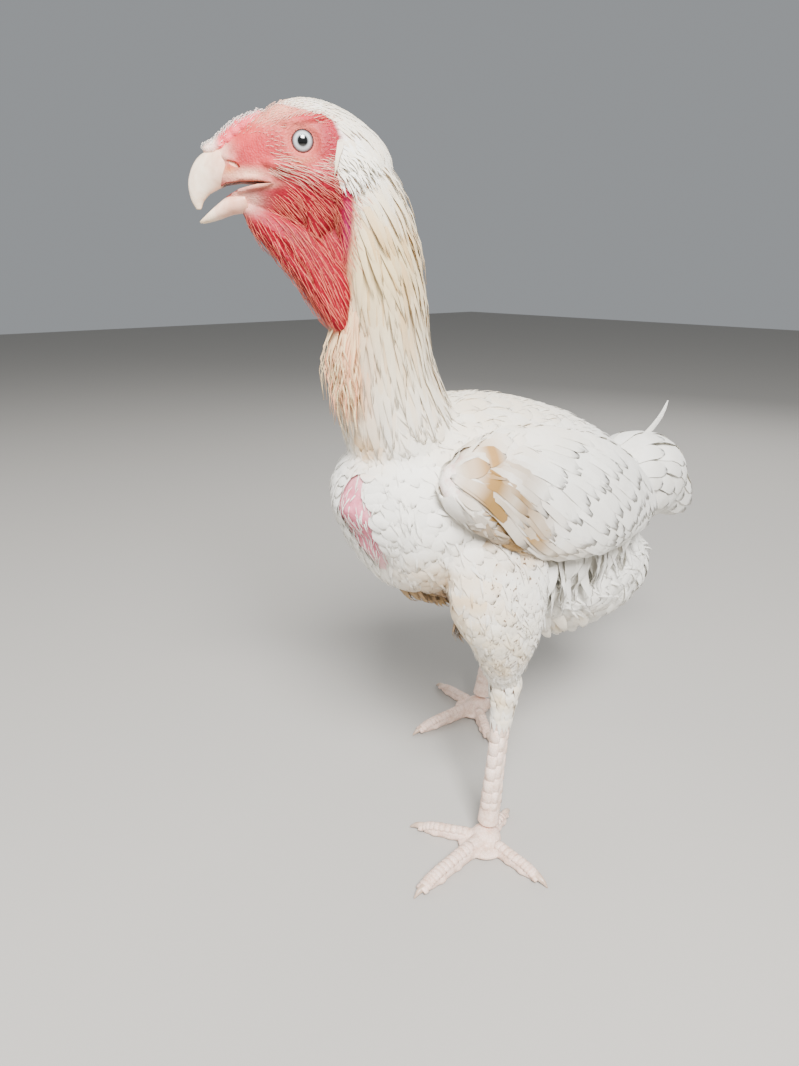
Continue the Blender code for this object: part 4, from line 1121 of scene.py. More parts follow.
# Name, regions, outline, finish, hold on the skin and weight, camber, slot and nodes of each coat
COATS = (
    ("body_coat", (BODY, WING), ROUNDED, PLUME, (1.0, 0.0), 0.05, "plumage", ("torso",)),
    ("hackle_coat", (HACKLE,), POINTED, HACKLE_PLUME, (0.97, 0.03), 0.05, "hackle", ("neck",)),
    ("thigh_coat", (THIGH,), ROUNDED, THIGH_PLUME, (1.0, 0.0), 0.06, "plumage", ("thigh_left", "thigh_right")),
    ("fluff_coat", (FLUFF,), TUFTED, DOWN, (0.30, 0.50), 0.10, "plumage", ("fluff",)),
    ("tail_coat", (TAIL,), ROUNDED, PLUME, (0.8, 0.25), 0.06, "plumage", ("tail",)),
)


def make_coat():
    roots, faces = SKIN.roots(coat_spacing, 110000)
    headings, sizes, regions = coat_at(roots)
    outward = SKIN.normals[SKIN.triangles[faces]].mean(axis=1)
    outward[:, 2] = 0
    headings = headings + 0.10 * outward + strewn(headings.shape, 0.26)
    seeds = CHANCE.random(len(roots))
    spread = 0.85 + 0.3 * CHANCE.random(len(roots))
    shorter = 1.0 - 0.6 * np.clip(bare_share(roots - np.array((0, 0, 0.014))) * 1.6, 0, 1)
    for name, wanted, outline, finish, hold, camber, slot, nodes in COATS:
        chosen = np.flatnonzero(np.isin(regions, wanted))
        size = sizes[chosen]
        lifts = size[:, 3] * (0.7 + 0.6 * seeds[chosen])
        if HACKLE in wanted:
            lifts = size[:, 3] * CHANCE.uniform(0.15, 1.7, len(chosen)) ** 1.5
        lengths = size[:, 0] * spread[chosen] * shorter[chosen]
        plan = (outline, finish, hold, (VANE_THICKNESS, camber, 0.16), slot)
        root = (roots[chosen], faces[chosen], headings[chosen])
        lay(name, SKIN, plan, *root, lengths, lifts, size[:, 1] * spread[chosen], seeds[chosen], nodes)


def make_breast_wisps():
    """A few thin white wisps across the bare skin of the breast."""
    roots, faces = SKIN.roots(lambda places: np.where(bare_share(places) > WISPS_FROM, 0.0042, 0.0), 4000)
    count = len(roots)
    headings = lie(count, (0.0, 0.30, -1.0), 0.9)
    lengths = CHANCE.uniform(0.006, 0.016, count)
    lifts = CHANCE.uniform(0.0004, 0.0018, count)
    widths = CHANCE.uniform(0.0005, 0.0016, count)
    plan = (WISP, DOWN, (0.95, 0.05, 0.0004), LOOSE_BUILD, "plumage")
    seeds = CHANCE.random(count)
    lay("breast_wisps", SKIN, plan, roots, faces, headings, lengths, lifts, widths, seeds, ("torso",))


def make_belly_tufts():
    """Brown to dark brown tufts that hang from the belly in front of the legs."""
    across = CHANCE.uniform(0.000, 0.040, BELLY_TUFTS)
    back = CHANCE.uniform(-0.112, -0.074, BELLY_TUFTS)
    places = np.stack((across, back, np.full(BELLY_TUFTS, BELLY_LEVEL)), axis=1) + np.array(SHIFT)
    roots = np.array([tuple(SKIN.nearest(place)[0]) for place in places])
    headings = lie(BELLY_TUFTS, (0.05, 0.55, -0.8), 0.5)
    on_belly = coat_at(roots)[2] == BODY
    roots, headings = roots[on_belly], headings[on_belly]
    lengths = CHANCE.uniform(0.014, 0.024, len(roots))
    lifts = CHANCE.uniform(0.002, 0.008, len(roots))
    paths, outs = SKIN.comb(roots, headings, lengths, lifts, len(TUFTED), 0.4, 0.15)
    tips = paths[:, -1]
    hung_free = (coat_at(tips)[2] == BODY) & (tips[:, 2] > 0.200)
    roots, paths, outs = roots[hung_free], paths[hung_free], outs[hung_free]
    widths = CHANCE.uniform(0.0035, 0.0070, len(roots))[:, None] * np.array(TUFTED)
    tints = mixed((0.46, 0.29, 0.12), (0.13, 0.065, 0.02), CHANCE.random((len(roots), 1)))
    bake = SKIN.unwrap[SKIN.faces_at(roots)]
    declare(planted("belly_tufts", paths, outs, widths, bake, tints, DOWN, *LOOSE_BUILD), ("torso",))


def make_loose_barbs():
    """Narrow wisps that stray from the vanes and soften the edges of the body coat."""
    roots, faces = SKIN.roots(lambda places: coat_spacing(places) * 1.1, 30000)
    headings, sizes, regions = coat_at(roots)
    chosen = np.flatnonzero(np.isin(regions, (BODY, THIGH, TAIL, WING)))[:LOOSE_BARBS]
    count = len(chosen)
    headings = headings[chosen] + strewn((count, 3), 0.8)
    lengths = sizes[chosen, 0] * CHANCE.uniform(0.7, 1.15, count)
    lifts = sizes[chosen, 3] * CHANCE.uniform(1.1, 2.2, count)
    widths = CHANCE.uniform(0.0014, 0.0042, count)
    plan = (WISP, DOWN, (0.95, 0.05), LOOSE_BUILD, "plumage")
    strands = (roots[chosen], faces[chosen], headings, lengths, lifts, widths, CHANCE.random(count))
    lay("loose_barbs", SKIN, plan, *strands, ("torso", "thigh_left", "thigh_right", "tail"))


make_coat()
make_breast_wisps()
make_belly_tufts()
make_loose_barbs()


# Wings and tail: feathers in tiers over their forms


def on_form(frames, share, degrees, lift):
    """A point off a form's surface and the way out of it. Past its last full frame it runs straight on."""
    full = FULL_SHARE * (len(frames) - 1)
    place = min(max(share, 0.0) * (len(frames) - 1), full)
    index = min(int(place), len(frames) - 2)
    blend = place - index
    centre, along, side, rise = [a.lerp(b, blend) for a, b in zip(frames[index][:4], frames[index + 1][:4])]
    half, up, down = [a + (b - a) * blend for a, b in zip(frames[index][4:], frames[index + 1][4:])]
    beyond = max(share - FULL_SHARE, 0.0)
    length = (frames[-1][0] - frames[0][0]).length
    angle = math.radians(degrees)
    reach = up if math.sin(angle) > 0 else down
    out = (side * (math.cos(angle) / half) + rise * (math.sin(angle) / reach)).normalized()
    ground = centre + along * (beyond * length)
    spoke = side * (math.cos(angle) * half) + rise * (math.sin(angle) * reach)
    return ground + spoke * (1.0 - beyond) + out * lift, out


def tiered_path(frames, root, tip, lift, droop, place):
    """Points and ways out along a broad feather from its root to its tip over a form."""
    points, outs = [], []
    for share in np.arange(len(BROAD)) / (len(BROAD) - 1):
        along = root[0] + (tip[0] - root[0]) * share**0.9
        around = root[1] + (tip[1] - root[1]) * share**droop
        rise = -0.0015 + (lift + 0.0015) * min(1.0, share * 1.6)
        point, out = on_form(frames, along, around, rise)
        points.append(place @ point)
        outs.append((place.to_3x3() @ out).normalized())
    tilt = Matrix.Rotation(TILT * (1 if place.determinant() > 0 else -1), 3, (points[-1] - points[0]).normalized())
    return [tuple(point) for point in points], [tuple(tilt @ out) for out in outs]


def spread_between(first, last, count, index):
    return first + (last - first) * index / max(count - 1, 1)


def plant_tiers(name, feathers, outline, node, finish=PLUME, fray=0.10):
    """One piece from feathers given as points, ways out and width."""
    paths, outs, widths = [np.array(part) for part in zip(*feathers)]
    tints = tints_along(paths, CHANCE.random(len(paths)))
    bake = SKIN.unwrap[SKIN.faces_at(paths[:, 1])]
    widths = widths[:, None] * np.array(outline)
    declare(planted(name, paths, outs, widths, bake, tints, finish, TIER_THICKNESS, 0.035, fray), (node,))


def make_wing_feathers(side):
    frames = form_rows(WING_ROWS, WING_SIDEWAYS, 4)
    place = Matrix.Translation(SHIFT) @ wing_place(side)
    feathers = []
    for count, first_root, last_root, first_tip, last_tip, width, lift in WING_TIERS:
        for index in range(count):
            root = [spread_between(low, high, count, index) for low, high in zip(first_root, last_root)]
            tip = [spread_between(low, high, count, index) for low, high in zip(first_tip, last_tip)]
            tip[0] += random.uniform(-0.035, 0.035)
            tip[1] += random.uniform(-5, 5)
            feathers.append((*tiered_path(frames, root, tip, lift, 1.7, place), width * random.uniform(0.8, 1.2)))
    plant_tiers("wing_feathers_" + side, feathers, BROAD, "wing_" + side)


def make_tail_feathers():
    frames = form_rows(TAIL_FORM, ACROSS, 4)
    place = Matrix.Translation(SHIFT)
    feathers = []
    for count, root, tip, first, last, droop, width, lift in TAIL_TIERS:
        for index in range(count):
            angle = spread_between(first, last, count, index) + random.uniform(-4, 4)
            fall = droop * math.cos(math.radians(angle))
            ends = (root, angle), (tip + random.uniform(-0.05, 0.05), angle - fall)
            feathers.append((*tiered_path(frames, *ends, lift, 1.5, place), width * random.uniform(0.85, 1.1)))
    sickle = [tuple(np.array(point) + np.array(SHIFT)) for point in smoothed(SICKLE, 3)][: len(BROAD)]
    feathers.append((sickle, [(1.0, 0.0, 0.0)] * len(BROAD), SICKLE_WIDTH))
    plant_tiers("tail_feathers", feathers, BROAD, "tail")


def make_drape(side):
    """Soft tufts that hang from under the wing over the fluff."""
    feathers = []
    outward = unit(np.array((SIDES[side], 0.25, 0.10)))
    along = np.arange(len(TUFTED)) / (len(TUFTED) - 1)
    for inset, drop in DRAPE_ROWS:
        for index in range(DRAPE_TUFTS):
            share = (index + random.uniform(-0.6, 0.6)) / (DRAPE_TUFTS - 1)
            root = mixed(DRAPE_FRONT, DRAPE_BACK, share)
            root[0] = (root[0] - inset) * SIDES[side]
            root[2] -= drop + random.uniform(-0.004, 0.004)
            length = random.uniform(0.028, 0.060)
            swing = random.uniform(-0.25, 0.50)
            puff = random.uniform(-0.002, 0.010)
            bulge = puff * np.sin(math.pi * np.minimum(1.0, along + 0.15))
            hang = np.outer(length * along, (0.0, swing, -1.0))
            points = root + np.array(SHIFT) + np.outer(bulge, outward) + hang
            facing = outward + np.array((0.0, random.uniform(-0.5, 0.5), random.uniform(-0.1, 0.4)))
            feathers.append((points, [tuple(facing)] * len(TUFTED), random.uniform(0.012, 0.018)))
    plant_tiers("drape_" + side, feathers, TUFTED, "fluff", DOWN, 0.3)


for wing_side in SIDES:
    make_wing_feathers(wing_side)
    make_drape(wing_side)
make_tail_feathers()


# Head


def face_tint(places):
    local = to_head(places)
    ahead, above_rows, below_rows = zip(*GAPE_ROWS)
    above = np.interp(local[:, 0], ahead, above_rows)
    below = np.interp(local[:, 0], ahead, below_rows)
    surface = np.array([face_half_width(a, z) for a, _, z in local])
    inside = (local[:, 0] > GAPE_ROWS[0][0]) & (local[:, 2] < above + 0.0003) & (local[:, 2] > below - 0.0003)
    inside &= np.abs(local[:, 1]) < surface - 0.0006
    feathered = np.clip((face_edge(local) - local[:, 0]) / 0.003 + 0.5, 0, 1)
    feathered[local[:, 2] < THROAT_TOP] = 0.0
    colour = mixed(face_colour(local), WHITE * 0.96, column(feathered))
    colour[inside] = MOUTH
    return colour


def head_ball(ahead, out, up, radii, slant=0.0):
    """A swelling on the head, slanted in degrees."""
    turn = HEAD.to_3x3().to_4x4() @ Matrix.Rotation(-math.radians(slant), 4, "Y")
    return swelling(HEAD @ Vector((ahead, out, up)), radii, turn)


def tube(name, points, radii):
    rows = [(*point, radius, radius, radius) for point, radius in zip(points, radii)]
    return lofted(name, rows, Vector((0.3, 1, 0.1)), 3, 10)


def make_gape():
    """The opening between the bills, as a form to cut with."""
    corners = []
    for ahead, above, below in GAPE_ROWS:
        for side, level in ((-1, below), (1, below), (1, above), (-1, above)):
            corners.append(HEAD @ Vector((ahead, GAPE_HALF_WIDTH * side, level)))
    gape = drawn_piece("gape", corners, ring_faces(len(GAPE_ROWS), 4))
    face_out(gape)
    return gape


def make_face():
    head_form = [(ahead, 0.0, *row) for ahead, *row in HEAD_ROWS]
    throat_form = [(ahead, 0.0, *row) for ahead, *row in THROAT_ROWS]
    head = moved(lofted("head_form", head_form, Vector((0, 1, 0)), 5, 48, 0.0002, JAW_PINCH), HEAD)
    throat = moved(lofted("throat_form", throat_form, Vector((0, -1, 0)), 5, 32), HEAD)
    for sign in (1, -1):
        cut_from(head, head_ball(0.0, EYE_BASIN_OUT * sign, 0.0, EYE_BASIN))
    pieces = [head, throat, head_ball(-0.0175, 0.0, -0.0540, (0.0120, 0.0075, 0.0170))]
    for sign in (1, -1):
        for ahead, out, up, radii, slant in FACE_SWELLINGS:
            pieces.append(head_ball(ahead, out * sign, up, radii, slant))
        for out, radius, thickness in LIDS:
            lid_place = HEAD @ Matrix.Translation((0.0, out * sign, 0.0)) @ Matrix.Rotation(math.pi / 2, 4, "X")
            pieces.append(hoop(lid_place, radius, thickness))
        for lip_rows, radii in LIPS:
            points = [HEAD @ Vector((a, (face_half_width(a, z) - 0.0004) * sign, z)) for a, z in lip_rows]
            pieces.append(tube("lip", points, radii))
    frames = form_rows(throat_form, Vector((0, -1, 0)), 4)
    for angle in THROAT_FOLDS:
        points = []
        radii = []
        for share in (0.12, 0.3, 0.5, 0.7, 0.86):
            point, _ = on_form(frames, share, angle + 9 * math.sin(share * 9 + angle), -0.0003)
            points.append(HEAD @ point)
            radii.append(0.0004 + 0.0015 * math.sin(math.pi * share))
        pieces.append(tube("throat_fold", points, radii))
    face = melted(join_pieces("face_skin", pieces), FACE_VOXEL, 2)
    for sign in (1, -1):
        centre = HEAD @ Vector((0.0, EYE_OUT * sign, 0.0))
        cut_from(face, swelling(centre, (EYE_RADIUS + EYE_GAP,) * 3, None, 32, 20))
        cut_from(face, head_ball(0.0385, 0.0108 * sign, -0.0112, NOSTRIL, 24))
    cut_from(face, make_gape())
    dress(face, face_tint, FACE_SKIN, ("head", "throat"))
    return face


def horn_tint(places):
    local = to_head(places)
    colour = mixed((0.86, 0.70, 0.54), (0.84, 0.46, 0.33), column(eased(local[:, 0], 0.056, -0.016)))
    tip = eased(local[:, 2], -0.026, -0.012) * eased(local[:, 0], 0.05, 0.01)
    return mixed(colour, (0.80, 0.62, 0.36), column(0.5 * tip))


def make_beak(name, rows, node):
    beak = moved(lofted(name, rows, Vector((0, -1, 0)), 8, 40), HEAD)
    cut_from(beak, make_gape())
    dress(beak, horn_tint, BEAK_HORN, (node,))


def make_eye(side):
    """An eyeball with a pearl iris in fine spokes, a small black pupil and a dark rim."""
    sign = SIDES[side]
    place = HEAD @ Matrix.Translation((0.0, EYE_OUT * sign, 0.0)) @ Matrix.Rotation(-math.pi / 2 * sign, 4, "X")
    bpy.ops.object.select_all(action="DESELECT")
    bpy.ops.mesh.primitive_uv_sphere_add(segments=64, ring_count=64, radius=EYE_RADIUS)
    eye = bpy.context.active_object
    eye.name = "eyeball_" + side
    eye.data.transform(place)
    pole = (HEAD.to_3x3() @ Vector((0, sign, 0))).normalized()
    centre = HEAD @ Vector((0.0, EYE_OUT * sign, 0.0))

    def iris_tint(places):
        away = places - np.array(centre)
        along = away @ np.array(pole)
        out = np.sqrt(np.maximum((away**2).sum(axis=1) - along**2, 0))
        out[along < 0] = EYE_RADIUS
        share = out / EYE_RADIUS
        spokes = 0.08 * np.sin(40 * np.arctan2(away[:, 2], away[:, 0])) * (share > 0.31) * (share < 0.66)
        level = np.interp(share, *IRIS_RINGS) * (1 + spokes)
        return column(level) * (0.90, 0.97, 1.0)

    dress(eye, iris_tint, PEARL, ("eye_" + side,))


def comb_tint_and_highlight(places):
    # The front knob is painted pale cream over the red: a painted highlight
    front = eased(to_head(places)[:, 0], 0.0455, 0.004)
    return mixed((0.74, 0.10, 0.12), (0.90, 0.72, 0.60), column(front))


def make_comb():
    """A low comb in three rows of knobs."""
    pieces = []
    for out, count, size, drop in ((0.0, 8, 0.0030, -0.0002), (0.0040, 7, 0.0026, 0.0020)):
        for index in range(count):
            share = index / (count - 1)
            ahead = COMB_FRONT[0] + (COMB_BACK[0] - COMB_FRONT[0]) * share
            level = COMB_FRONT[1] + (COMB_BACK[1] - COMB_FRONT[1]) * share - drop + 0.0008 * math.sin(5 * index)
            swell = size * (0.82 + 0.36 * math.sin(math.pi * share))
            for sign in (-1, 1) if out else (1,):
                pieces.append(head_ball(ahead, out * sign, level, (swell * 1.1, swell, swell)))
    slope = math.atan2(COMB_BACK[1] - COMB_FRONT[1], COMB_FRONT[0] - COMB_BACK[0])
    pieces.append(head_ball(0.0360, 0.0, 0.0060, (0.0190, 0.0062, 0.0048), -math.degrees(slope)))
    pieces.append(head_ball(0.0515, 0.0, -0.0030, (0.0042, 0.0054, 0.0034)))
    comb = melted(join_pieces("comb_flesh", pieces), 0.0006, 6)
    dress(comb, comb_tint_and_highlight, COMB_SKIN, ("comb",))
    return comb


face_piece = make_face()
HEAD_SKIN = Surface(face_piece, body_skin)
make_beak("upper_bill", BEAK_UPPER_ROWS, "beak_upper")
make_beak("lower_bill", BEAK_LOWER_ROWS, "beak_lower")
for eye_side in SIDES:
    make_eye(eye_side)
comb_piece = make_comb()


def bristle_spacing(places):
    local = to_head(places)
    spacing = np.full(len(local), 0.0020)
    for back, front, low, high, gap in BRISTLE_ZONES:
        within = (local[:, 0] > back) & (local[:, 0] < front) & (local[:, 2] > low) & (local[:, 2] < high)
        spacing[within] = gap
    spacing[np.hypot(local[:, 0], local[:, 2]) < 0.0120] = 0.0
    spacing[from_ear(local) < 0.009] = 0.0
    spacing[local[:, 0] < face_edge(local) - 0.001] = 0.0
    return spacing


def make_bristles():
    """Long fine bristles that sweep back and down over the cheeks, jaw and throat."""
    roots, faces = HEAD_SKIN.roots(bristle_spacing, 40000)
    count = len(roots)
    ahead, _, level = to_head(roots).T
    below = eased(level, -0.010, -0.03)
    headings = np.stack((-1.0 + 0.45 * below, np.zeros(count), -0.15 - 0.85 * below), axis=1)
    headings[level > 0.006, 2] = 0.12
    headings = (headings + strewn(headings.shape, 0.30)) @ HEAD_WAYS
    length = eased(level, -0.002, -0.02)
    lengths = (0.0036 + 0.0105 * length) * (0.6 + 0.6 * CHANCE.random(count))
    lifts = 0.0005 + (0.0012 + 0.0010 * length) * CHANCE.random(count)
    widths = 0.00027 + 0.00006 * length
    pale = eased(level, -0.022, 0.008)
    pale[(ahead < -0.008) & (level > -0.004)] = 0.2
    tints = mixed((0.70, 0.15, 0.09), (0.88, 0.56, 0.42), column(pale)) * (0.72 + 0.28 * CHANCE.random((count, 1)))
    plan = (NEEDLE, BRISTLE, (0.85, 0.08, 0.0003), (BRISTLE_THICKNESS, 0.0, 0.0), "plumage")
    throat = level < THROAT_TOP
    for name, chosen, node in (("cheek_bristles", ~throat, "head"), ("throat_bristles", throat, "throat")):
        strands = [part[chosen] for part in (roots, faces, headings, lengths, lifts, widths, tints)]
        lay(name, HEAD_SKIN, plan, *strands, (node,))


def make_comb_fuzz():
    """Short white bristles along the top of the comb."""
    comb = Surface(comb_piece)
    roots, faces = comb.roots(lambda places: np.full(len(places), 0.0011), 2600)
    local = to_head(roots)
    slope = (COMB_BACK[1] - COMB_FRONT[1]) / (COMB_BACK[0] - COMB_FRONT[0])
    above = local[:, 2] - COMB_FRONT[1] - slope * (local[:, 0] - COMB_FRONT[0])
    chosen = (above > 0.0004) | (CHANCE.random(len(roots)) < 0.12)
    roots, faces = roots[chosen], faces[chosen]
    count = len(roots)
    headings = lie(count, (-1.0, 0.0, 0.45), 0.7) @ HEAD_WAYS
    lengths = CHANCE.uniform(0.0016, 0.0036, count)
    lifts = CHANCE.uniform(0.0006, 0.0018, count)
    tints = np.tile(np.array((0.93, 0.86, 0.78)), (count, 1))
    plan = (NEEDLE, BRISTLE, (0.4, 0.0, 0.0002), (0.00022, 0.0, 0.0), "plumage")
    lay("comb_fuzz", comb, plan, roots, faces, headings, lengths, lifts, np.full(count, 0.00028), tints, ("comb",))


def make_throat_fringe():
    """Loose peach strands that hang from the end of the throat down the front of the neck."""
    count = FRINGE_STRANDS
    spans = ((-0.026, -0.012), (-0.014, 0.014), (-0.118, -0.084))
    local = np.stack([CHANCE.uniform(low, high, count) for low, high in spans], axis=1)
    roots = np.array([tuple(HEAD @ Vector(place)) for place in local])
    headings = lie(count, (-0.10, -0.12, -1.0), 0.30)
    lengths = CHANCE.uniform(0.030, 0.058, count)
    lifts = CHANCE.uniform(0.0020, 0.0170, count)
    widths = CHANCE.uniform(0.0010, 0.0026, count)
    tints = mixed(CREAM, PEACH, CHANCE.random((count, 1))) * 0.97
    plan = (POINTED, HACKLE_PLUME, (0.5, 0.05), (VANE_THICKNESS, 0.06, 0.0), "hackle")
    strands = (roots, SKIN.faces_at(roots), headings, lengths, lifts, widths, tints)
    lay("throat_fringe", SKIN, plan, *strands, ("neck",))


def crown_spacing(places):
    """Short feathers from the comb over the crown to the nape, behind the edge of the bare face."""
    local = to_head(places)
    behind = face_edge(local) - local[:, 0]
    spacing = 0.00135 + 0.0007 * np.clip(behind / 0.02, 0, 1)
    spacing[(behind < 0.0) | (local[:, 2] < -0.030) | (from_ear(local) < 0.009)] = 0.0
    return spacing


def make_crown():
    roots, faces = HEAD_SKIN.roots(crown_spacing, 34000)
    count = len(roots)
    ahead = to_head(roots)[:, 0]
    fall = eased(ahead, 0.004, -0.032)
    headings = np.stack((-1.0 + 0.55 * fall, np.zeros(count), -0.15 - 0.85 * fall), axis=1)
    headings = (headings + strewn(headings.shape, 0.16)) @ HEAD_WAYS
    back = eased(ahead, -0.006, -0.03)
    lengths = (0.0042 + 0.020 * back) * (0.8 + 0.4 * CHANCE.random(count))
    seeds = CHANCE.random(count)
    warm = eased(ahead, -0.004, 0.02) * (0.3 + 0.5 * seeds)
    tints = mixed(plumage_tint(roots, seeds), (0.90, 0.60, 0.40), column(warm))
    plan = (POINTED, PLUME, (0.95, 0.0, 0.0004), (VANE_THICKNESS, 0.05, 0.15), "plumage")
    strands = (roots, faces, headings, lengths, 0.0004 + 0.0012 * back, 0.0016 + 0.0026 * back, tints)
    lay("crown_feathers", HEAD_SKIN, plan, *strands, ("head",))


def make_ear_tufts(side):
    """The fluffy white tuft over the ear opening: strands that rise from the skin and fall back and down."""
    sign = SIDES[side]

    def off_ear(local):
        return np.linalg.norm((local - np.array(EAR_PLACE))[:, (0, 2)], axis=1)

    def ear_spacing(places):
        local = to_head(places)
        return np.where((off_ear(local) < EAR_REACH) & (local[:, 1] * sign > 0.010), 0.00125, 0.0)

    roots, faces = HEAD_SKIN.roots(ear_spacing, 4000)
    count = len(roots)
    headings = lie(count, (-0.60, 0.10 * sign, -0.75), 0.55) @ HEAD_WAYS
    inner = 1 - (off_ear(to_head(roots)) / EAR_REACH) ** 2
    lengths = CHANCE.uniform(0.0080, 0.0140, count)
    lifts = 0.0010 + CHANCE.uniform(0.5, 1.0, count) * 0.0055 * inner
    widths = CHANCE.uniform(0.0013, 0.0027, count)
    tints = mixed(WHITE, CREAM, 0.35 * CHANCE.random((count, 1)))
    plan = (TUFTED, DOWN, (0.75, 0.10, 0.0006), (BRISTLE_THICKNESS, 0.06, 0.2), "plumage")
    strands = (roots, faces, headings, lengths, lifts, widths, tints)
    lay("ear_tuft_" + side, HEAD_SKIN, plan, *strands, ("ear_" + side,))


make_bristles()
make_comb_fuzz()
make_throat_fringe()
make_crown()
for ear_side in SIDES:
    make_ear_tufts(ear_side)


# Legs


def leg_tint(places):
    low = column(eased(places[:, 2], 0.05, -0.05))
    knee = column(eased(places[:, 2], 0.125, 0.03))
    return mixed(mixed((0.89, 0.71, 0.61), (0.85, 0.64, 0.54), low), (0.86, 0.50, 0.42), 0.3 * knee)


def toe_line(side, digit):
    turn, length = TOE_PLAN[digit]
    outward = SIDES[side]
    angle = math.radians(turn) * outward
    heading = Vector((math.sin(angle), -math.cos(angle), 0.0))
    start = Vector((ANKLE[side][0], ANKLE[side][1], 0.0)) + Vector((0.002 * outward, -0.006, 0.0))
    return start, heading, length - CLAW_LENGTH


def plate(frames, start, end, angle, width, lift=0.0006):
    """A scute: a plate bowed round the limb, its far edge raised over the next."""
    corners = []
    middle = (start + end) / 2
    levels = ((start, -0.0006, 0.86), (middle, 0.4 * lift, 1.0), (end, lift, 0.90), (end + 0.004, -0.0006, 0.78))
    for share, rise, spread in levels:
        point, out = on_form(frames, share, angle, rise)
        ahead = on_form(frames, share + 0.01, angle, rise)[0] - point
        side = out.cross(ahead).normalized()
        radius = width * spread / 2
        for step in range(7):
            swing = (step / 3 - 1) * PLATE_BOW
            corners.append(point + side * (math.sin(swing) * radius) - out * ((1 - math.cos(swing)) * radius * 1.1))
    faces = []
    for row in range(3):
        for step in range(6):
            corner = row * 7 + step
            faces.append((corner, corner + 1, corner + 8, corner + 7))
    made = drawn_piece("scute", corners, faces)
    shell = made.modifiers.new("shell", "SOLIDIFY")
    shell.thickness = PLATE_THICKNESS
    shell.offset = -1.0
    apply_all(made)
    face_out(made)
    return made


def shank_rows(side):
    top = Vector(HOCK[side])
    bottom = Vector(ANKLE[side])
    slim = [(share, SHANK_SLIM * width, SHANK_SLIM * depth) for share, width, depth in SHANK_ROWS]
    return [(*top.lerp(bottom, share), width, depth, depth) for share, width, depth in slim]


def make_sock(side):
    """Small feathers that carry the thigh's coat over the hock and down the top of the shank."""
    frames = form_rows(shank_rows(side), ACROSS, 6)
    levels = [row[0] for row in SHANK_ROWS]
    places = np.linspace(0, 1, len(SHANK_ROWS))
    feathers = []
    for tier in range(SOCK_TIERS):
        down = tier / (SOCK_TIERS - 1)
        for index in range(SOCK_FEATHERS):
            angle = 360 * (index + 0.5 * (tier % 2)) / SOCK_FEATHERS + random.uniform(-8, 8)
            start = -0.09 + 0.30 * down + random.uniform(-0.01, 0.01)
            lift = 0.0030 * (1 - down) + 0.0012 + random.uniform(0, 0.0012)
            points, outs = [], []
            for step in range(len(TUFTED)):
                share = step / (len(TUFTED) - 1)
                rise = lift * (1 - 0.30 * share) - 0.0022 * (1 - min(1.0, share * 3))
                along = np.interp(start + 0.125 * share, levels, places)
                point, out = on_form(frames, along, angle + 10 * share, rise)
                points.append(tuple(point + SHIFT))
                outs.append(tuple(out))
            feathers.append((points, outs, random.uniform(0.0050, 0.0072)))
    plant_tiers("sock_" + side, feathers, TUFTED, "thigh_" + side, PLUME, 0.16)


def make_toe(side, digit, radius):
    """The flesh of a toe with its pads, and the scutes on top of it."""
    start, heading, length = toe_line(side, digit)
    rows = []
    for share, swell in TOE_OUTLINE:
        size = radius * swell
        centre = start + heading * (length * share)
        rows.append((centre.x, centre.y, size * 0.86, size, size, size))
    sideways = heading.cross(UP)
    flesh = [lofted("toe_form", rows, sideways, 5, 24)]
    frames = form_rows(rows, sideways, 5)
    count = round(length / SCUTE_PITCH)
    scutes = []
    for index in range(count):
        first = 0.20 + 0.76 * index / count
        scutes.append(plate(frames, first, first + 0.80 / count, 90, 1.7 * radius, 0.0005))
    for share in (0.28, 0.54, 0.80):
        centre = start + heading * (length * share)
        pad = Vector((centre.x, centre.y, radius * 0.55))
        flesh.append(swelling(pad, (radius * 1.02, radius * 1.02, radius * 0.55)))
    return flesh, scutes


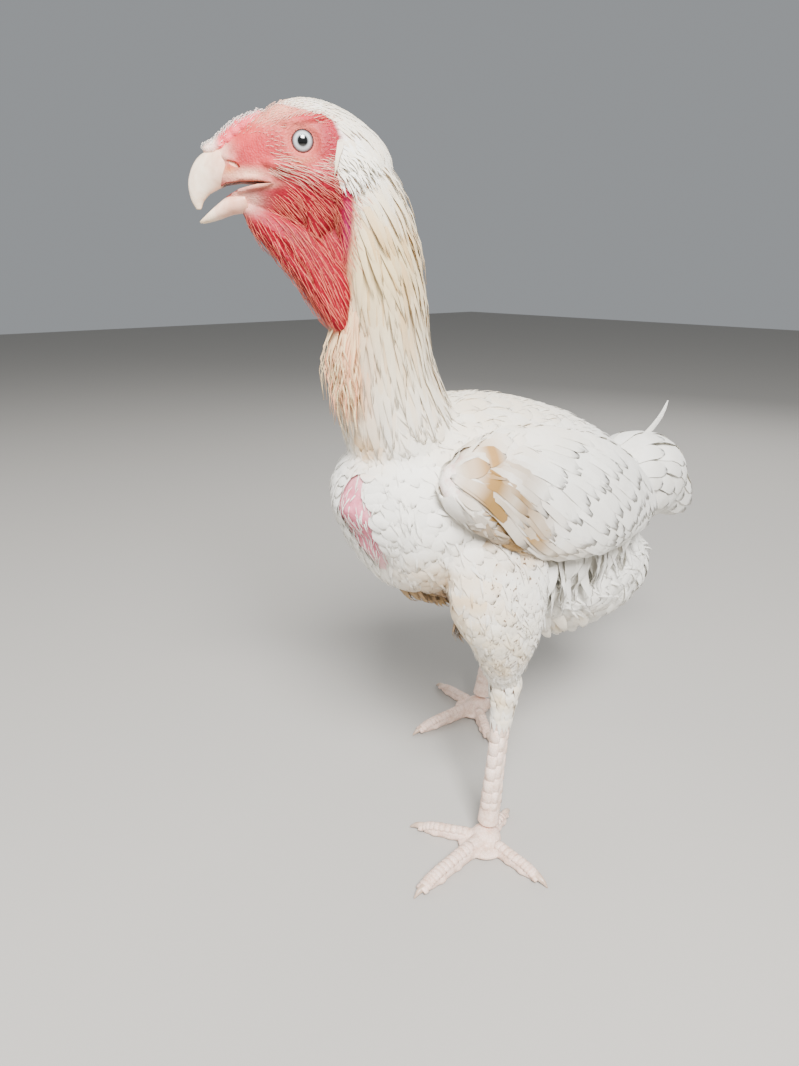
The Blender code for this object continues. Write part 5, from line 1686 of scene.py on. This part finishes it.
def make_leg(side):
    rows = shank_rows(side)
    frames = form_rows(rows, ACROSS, 6)
    pieces = [lofted("shank_form", rows, ACROSS, 6, 32)]
    plates = []
    for index in range(FRONT_SCUTES):
        start = 0.08 + 0.048 * index
        plates.append(plate(frames, start, start + 0.050, -90, 0.0125))
    for index in range(SCUTE_RINGS):
        start = 0.12 + 0.052 * index
        for angle, first, last in SIDE_SCUTES:
            plates.append(plate(frames, start + first, start + last, angle, 0.0075, 0.0004))
    palm = Vector((ANKLE[side][0] + 0.0015 * SIDES[side], ANKLE[side][1] - 0.004, 0.0070))
    pieces.append(swelling(palm, (0.0135, 0.0130, 0.0100)))
    for digit, radius in TOE_RADII.items():
        flesh, scutes = make_toe(side, digit, radius)
        pieces += flesh
        plates += scutes
    for first, last in (("inner", "middle"), ("middle", "outer")):
        start, one, _ = toe_line(side, first)
        middle = (one + toe_line(side, last)[1]).normalized()
        centre = start + middle * 0.0145
        turn = Matrix.Rotation(math.atan2(middle.y, middle.x), 4, "Z")
        pieces.append(swelling(Vector((centre.x, centre.y, 0.0046)), (0.0085, 0.0125, 0.0036), turn))
    leg = melted(join_pieces("leg_skin_" + side, pieces), 0.0009, 3)
    scutes = join_pieces("leg_scutes_" + side, plates)
    for piece in (leg, scutes):
        piece.data.transform(Matrix.Translation(SHIFT))
    for vertex in leg.data.vertices:
        vertex.co.z = max(vertex.co.z, 0.0)
    for piece in (leg, scutes):
        dress(piece, leg_tint, LEG_SCALES, ("shank_" + side, "foot_" + side))


def make_claw(side, digit):
    start, heading, length = toe_line(side, digit)
    root = start + heading * (length - 0.001)
    rows = []
    for share, radius, height in CLAW_OUTLINE:
        centre = root + heading * (CLAW_LENGTH * share)
        rows.append((centre.x, centre.y, height, radius, radius * 1.1, radius * 0.9))
    claw = lofted(f"nail_{side}_{digit}", rows, heading.cross(UP), 5, 16)
    claw.data.transform(Matrix.Translation(SHIFT))

    def nail_tint(places):
        tip = eased((places - np.array(root + SHIFT)) @ np.array(heading), 0.0, CLAW_LENGTH)
        return mixed((0.78, 0.60, 0.48), (0.46, 0.34, 0.26), column(tip))

    dress(claw, nail_tint, CLAW_HORN, (f"claw_{side}_{digit}",))


for leg_side in SIDES:
    make_leg(leg_side)
    make_sock(leg_side)
    for toe in TOE_PLAN:
        make_claw(leg_side, toe)


# Floor, light and camera


def make_stage():
    bpy.ops.object.select_all(action="DESELECT")
    bpy.ops.mesh.primitive_plane_add(size=12.0)
    floor = bpy.context.active_object
    floor.name = "floor"
    floor.data.materials.append(Finish("pale_floor", {"Roughness": 0.9, "Base Color": (0.40, 0.38, 0.35)}).material)
    world = bpy.data.worlds.new("soft_room")
    bpy.context.scene.world = world
    world.use_nodes = True
    room = world.node_tree.nodes["Background"]
    room.inputs["Color"].default_value = (0.84, 0.88, 0.92, 1.0)
    room.inputs["Strength"].default_value = 0.37
    for name, place, size, power in LAMPS:
        lamp = linked(name, bpy.data.lights.new(name, "AREA"))
        lamp.data.size = size
        lamp.data.energy = power
        lamp.location = place
        lamp.rotation_euler = (LAMPS_AIM - Vector(place)).to_track_quat("-Z", "Y").to_euler()
    camera = linked("camera", bpy.data.cameras.new("camera"))
    camera.data.lens = 26.0
    camera.data.sensor_width = 36.0
    camera.data.clip_start = 0.01
    camera.location = CAMERA_PLACE
    camera.rotation_euler = CAMERA_WAY.to_track_quat("-Z", "Y").to_euler()
    bpy.context.scene.camera = camera


make_stage()
